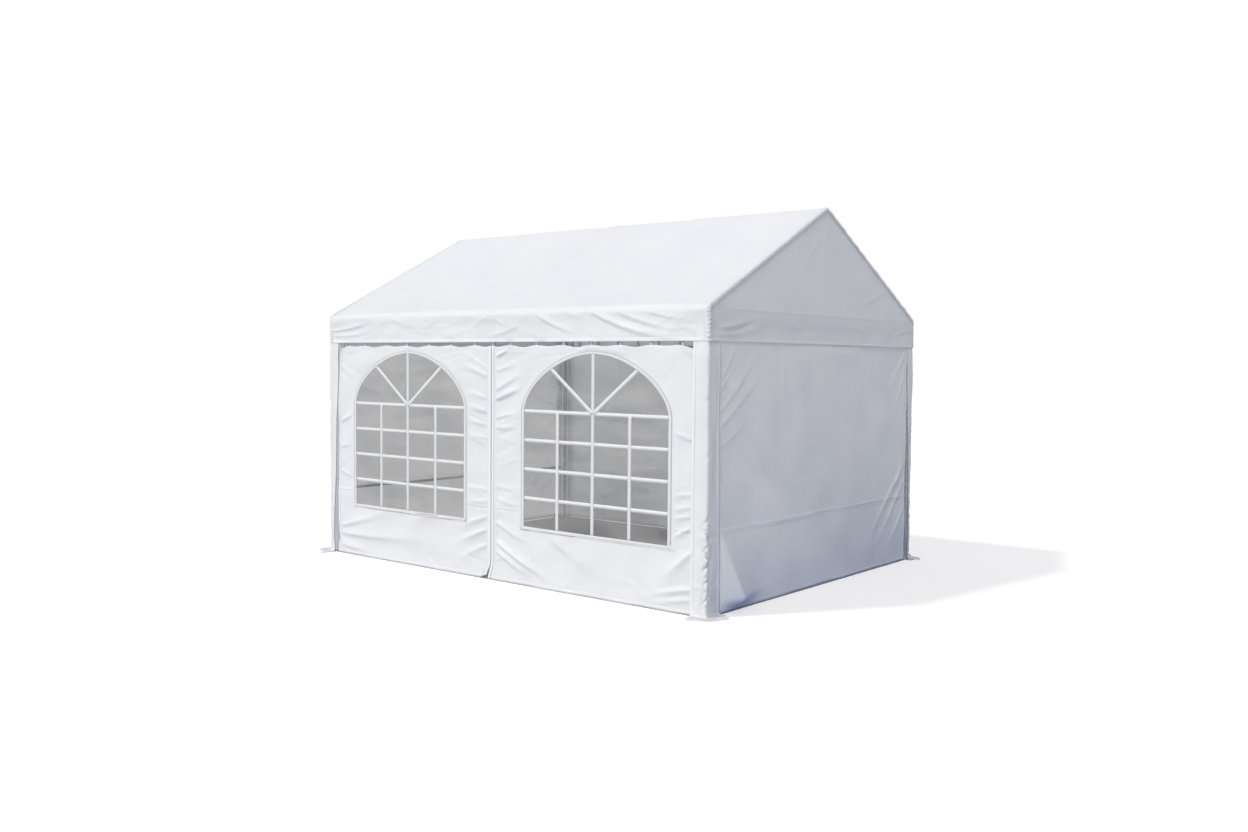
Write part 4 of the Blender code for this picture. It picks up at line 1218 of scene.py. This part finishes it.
def cover_shape(direction, side, long_arm, end_arm, seed, crumple):
    """A folded strip. u runs round the corner, to the right as seen from outside; v is the height."""
    turn_way = direction * -side
    quarter = COVER_FOLD * math.pi / 4

    def shape(u, v):
        around = u * turn_way  # below 0 along the long wall, above 0 along the gable end
        arm = np.where(around < 0, width_at(v, long_arm), width_at(v, end_arm))
        w = around * arm / COVER_ARM
        turn = np.clip((quarter - w) / (2 * quarter), 0, 1) * math.pi / 2
        out_x, out_y = np.cos(turn), np.sin(turn)
        x = COVER_X - COVER_FOLD + COVER_FOLD * out_x + np.minimum(w + quarter, 0)
        y = COVER_Y - COVER_FOLD + COVER_FOLD * out_y - np.maximum(w - quarter, 0)
        reach = 0.045 + 0.105 * hump(w + 0.056, 0.036)
        reach += 0.090 * hump(w - 0.057, 0.038) + 0.035 * hump(w, 0.020)
        arc = COVER_BEND * math.pi / 2
        past = np.maximum(COVER_KNEE - v, 0) * (arc + reach - COVER_BEND) / FLAP_ROWS
        bend = np.minimum(past / COVER_BEND, math.pi / 2)
        flap = np.maximum(past - arc, 0)
        level = np.where(v < COVER_KNEE, COVER_LOW + COVER_BEND * (1 - np.sin(bend)), v)
        level += smooth(flap / 0.06) * (0.0045 + 0.0045 * np.sin(w * 48 + seed))
        uneven = waves_at(v, v * 0, seed, 0.12, 0.6)
        pucker = np.sin(v * 2 * math.pi / COVER_GATHERS + 2 * uneven) * hump(w, 0.010)
        loose = 0.0030 * pucker * (0.6 + 0.4 * uneven) * smooth((1.79 - v) / 0.05)
        loose += crumple * folds_at(w, v, COVER_FOLDS)
        loose += waves_at(w * 3, v, seed + 5, 0.4, 0.0022) * smooth((1.79 - v) / 0.1)
        loose += crumple * creases_at(w, v, seed + 7, *CORNER_CREASES)
        for dent, leans, deep, tall in CORNER_DENTS:
            loose -= crumple * deep * np.exp(-(((v - dent - leans * w) / tall) ** 2) - (w / 0.026) ** 2)
        standing = smooth((v - COVER_KNEE) / 0.02)
        height = COVER_STANDS_OFF * smooth((1.80 - v) / 0.08)
        height += loose * standing * smooth((COVER_ARM - 0.002 - np.abs(around)) / 0.02)
        height += COVER_BEND * (1 - np.cos(bend)) + flap
        return np.stack([direction * (x + out_x * height), side * (y + out_y * height), level], axis=-1)

    return shape


def return_shape(direction, side, arm):
    """The edge of a cover beside a slit, turned in towards the room: u runs inwards, v is the height."""
    def shape(u, v):
        x = COVER_X - width_at(v, arm) - 0.65 * u
        y = COVER_Y - 0.001 - u
        return np.stack([direction * x, side * y, v], axis=-1)

    return shape


def make_cover(corner, seed, direction, side, long_arm, end_arm):
    crumple, fine = CRUMPLED_MOST if corner == "front_right" else CRUMPLED_LESS
    shape = cover_shape(direction, side, long_arm, end_arm, seed, crumple)
    columns = stations((-COVER_ARM, -0.03, 0.03, COVER_ARM), (0.010, 0.004, 0.010))
    low = COVER_KNEE - FLAP_ROWS
    rows = stations((low, COVER_KNEE - 0.045, COVER_KNEE + 0.005, 0.62, COVER_TOP), fine)
    name = f"cover_{corner}"
    cover = hang(name, cut_cloth(columns, rows), shape, white, f"corner_cover_{corner}")
    inner = COVER_ARM - COVER_HEM
    for where, ends in (("near", (-COVER_ARM, -inner)), ("far", (inner, COVER_ARM))):
        hem(f"cover_{where}_hem_{corner}", stations(ends, (0.014,)), rows, shape)
    if long_arm is SLIT_FRONT:
        strip = cut_cloth(stations((0, RETURN_DEPTH), (0.012,)), stations((0.003, COVER_TOP), (0.02,)))
        turned_in = return_shape(direction, side, long_arm)
        hang(f"cover_return_{corner}", strip, turned_in, white)
    seam = inner + SEAM_IN
    lines = [((u, 0.05), (u, COVER_TOP - SEAM_IN)) for u in (-seam, seam)]
    sew(f"cover_stitching_{corner}", shape, lines, HEM_LIFT)
    levels = np.linspace(low, COVER_TOP, 200)
    width = sum(float(np.mean(width_at(levels, arm))) for arm in (long_arm, end_arm))


for step, (corner, cover) in enumerate(COVERS.items()):
    make_cover(corner, 61 + 3 * step, *cover)


# Floor and light. The floor is plain and pale. A low soft sun from the front left lights the cloth and a
# weak high one gives the floor its faint shadow; the rest is even, slightly blue daylight.
FLOOR_SIZE = 90
FLOOR_SHOWN = (0.555, 0.540, 0.530, 1)  # brightness that the bare floor adds for the eye
FLOOR_PALE = (0.60, 0.60, 0.60, 1)
FLOOR_UNDER = (0.42, 0.42, 0.43, 1)
FLOOR_SHADY = (0.05, 0.16, 0.50, 1)  # cool shade beside the right end, as the cloth above it sees it
SHADY_WIDTH = 0.75
DAYLIGHT = (0.520, 0.541, 0.595, 1)
BACKDROP = (1.0, 1.0, 1.0, 1)
WHITE_LIGHT = (1.0, 1.0, 1.0)
SUN_AWAY = 12
# A sun's name, the way its light travels, its strength, its size in degrees and its colour, and whether
# it leaves the floor out or lights nothing else.
SUNS = (
    ("sun", (0.40, 0.68, -0.616), 1.93, 6, (1.0, 0.955, 0.905), "EXCLUDE"),
    ("fill_sun", (-0.27, 0.74, -0.616), 1.10, 12, WHITE_LIGHT, "EXCLUDE"),
    ("floor_sun", (0.45, 0.65, -1.0), 1.9, 5, WHITE_LIGHT, "INCLUDE"),
)


def floor_finish():
    finish, tree = new_finish("pale_floor")
    seen = add_node(tree, "LightPath").outputs["Is Camera Ray"]
    place = add_node(tree, "TexCoord").outputs["Object"]
    x, y = add_node(tree, "SeparateXYZ", {0: place}).outputs[:2]
    past_end = reckon(tree, "GREATER_THAN", reckon(tree, "ABSOLUTE", x), HALF_LENGTH + 0.002)
    past_wall = reckon(tree, "GREATER_THAN", reckon(tree, "ABSOLUTE", y), WALL_FACE + 0.003)
    outside = reckon(tree, "MAXIMUM", past_end, past_wall)
    middle = reckon(tree, "SUBTRACT", x, HALF_LENGTH + SHADY_WIDTH / 2)
    beside = reckon(tree, "LESS_THAN", reckon(tree, "ABSOLUTE", middle), SHADY_WIDTH / 2)
    behind = reckon(tree, "GREATER_THAN", y, -WALL_FACE)
    unseen = reckon(tree, "SUBTRACT", 1.0, seen)
    shady = reckon(tree, "MULTIPLY", reckon(tree, "MULTIPLY", beside, behind), unseen)
    ground = mixed(tree, shady, mixed(tree, outside, FLOOR_UNDER, FLOOR_PALE), FLOOR_SHADY)
    matt = add_node(tree, "BsdfDiffuse", {"Color": ground})
    shown = reckon(tree, "MULTIPLY", seen, outside)
    extra = add_node(tree, "Emission", {"Color": FLOOR_SHOWN, "Strength": shown})
    return finished(finish, add_node(tree, "AddShader", {0: matt, 1: extra}))


def make_floor():
    bm = bmesh.new()
    bmesh.ops.create_grid(bm, x_segments=1, y_segments=1, size=FLOOR_SIZE / 2)
    floor = show("floor", bm, floor_finish())
    return floor


def add_sun(floor, name, travel, strength, size, colour, link):
    data = bpy.data.lights.new(name, "SUN")
    data.energy = strength
    data.angle = math.radians(size)
    data.color = colour
    sun = bpy.data.objects.new(name, data)
    sun.rotation_mode = "QUATERNION"
    sun.rotation_quaternion = Vector(travel).to_track_quat("-Z", "Y")
    sun.location = -Vector(travel).normalized() * SUN_AWAY
    bpy.context.scene.collection.objects.link(sun)
    group = bpy.data.collections.new(name + "_lights")
    group.objects.link(floor)
    sun.light_linking.receiver_collection = group
    group.collection_objects[0].light_linking.link_state = link


def make_daylight():
    world = bpy.data.worlds.new("daylight")
    world.use_nodes = True
    tree = world.node_tree
    tree.nodes.clear()
    seen = add_node(tree, "LightPath").outputs["Is Camera Ray"]
    sky, plain = (add_node(tree, "Background", {"Color": shade}) for shade in (DAYLIGHT, BACKDROP))
    both = add_node(tree, "MixShader", {0: seen, 1: sky, 2: plain})
    add_node(tree, "OutputWorld", {"Surface": both})
    scene = bpy.context.scene
    scene.world = world
    scene.view_settings.view_transform = "Standard"
    scene.view_settings.look = "None"
    scene.cycles.diffuse_bounces = 12
    scene.cycles.max_bounces = 16


floor = make_floor()
for sun in SUNS:
    add_sun(floor, *sun)
make_daylight()
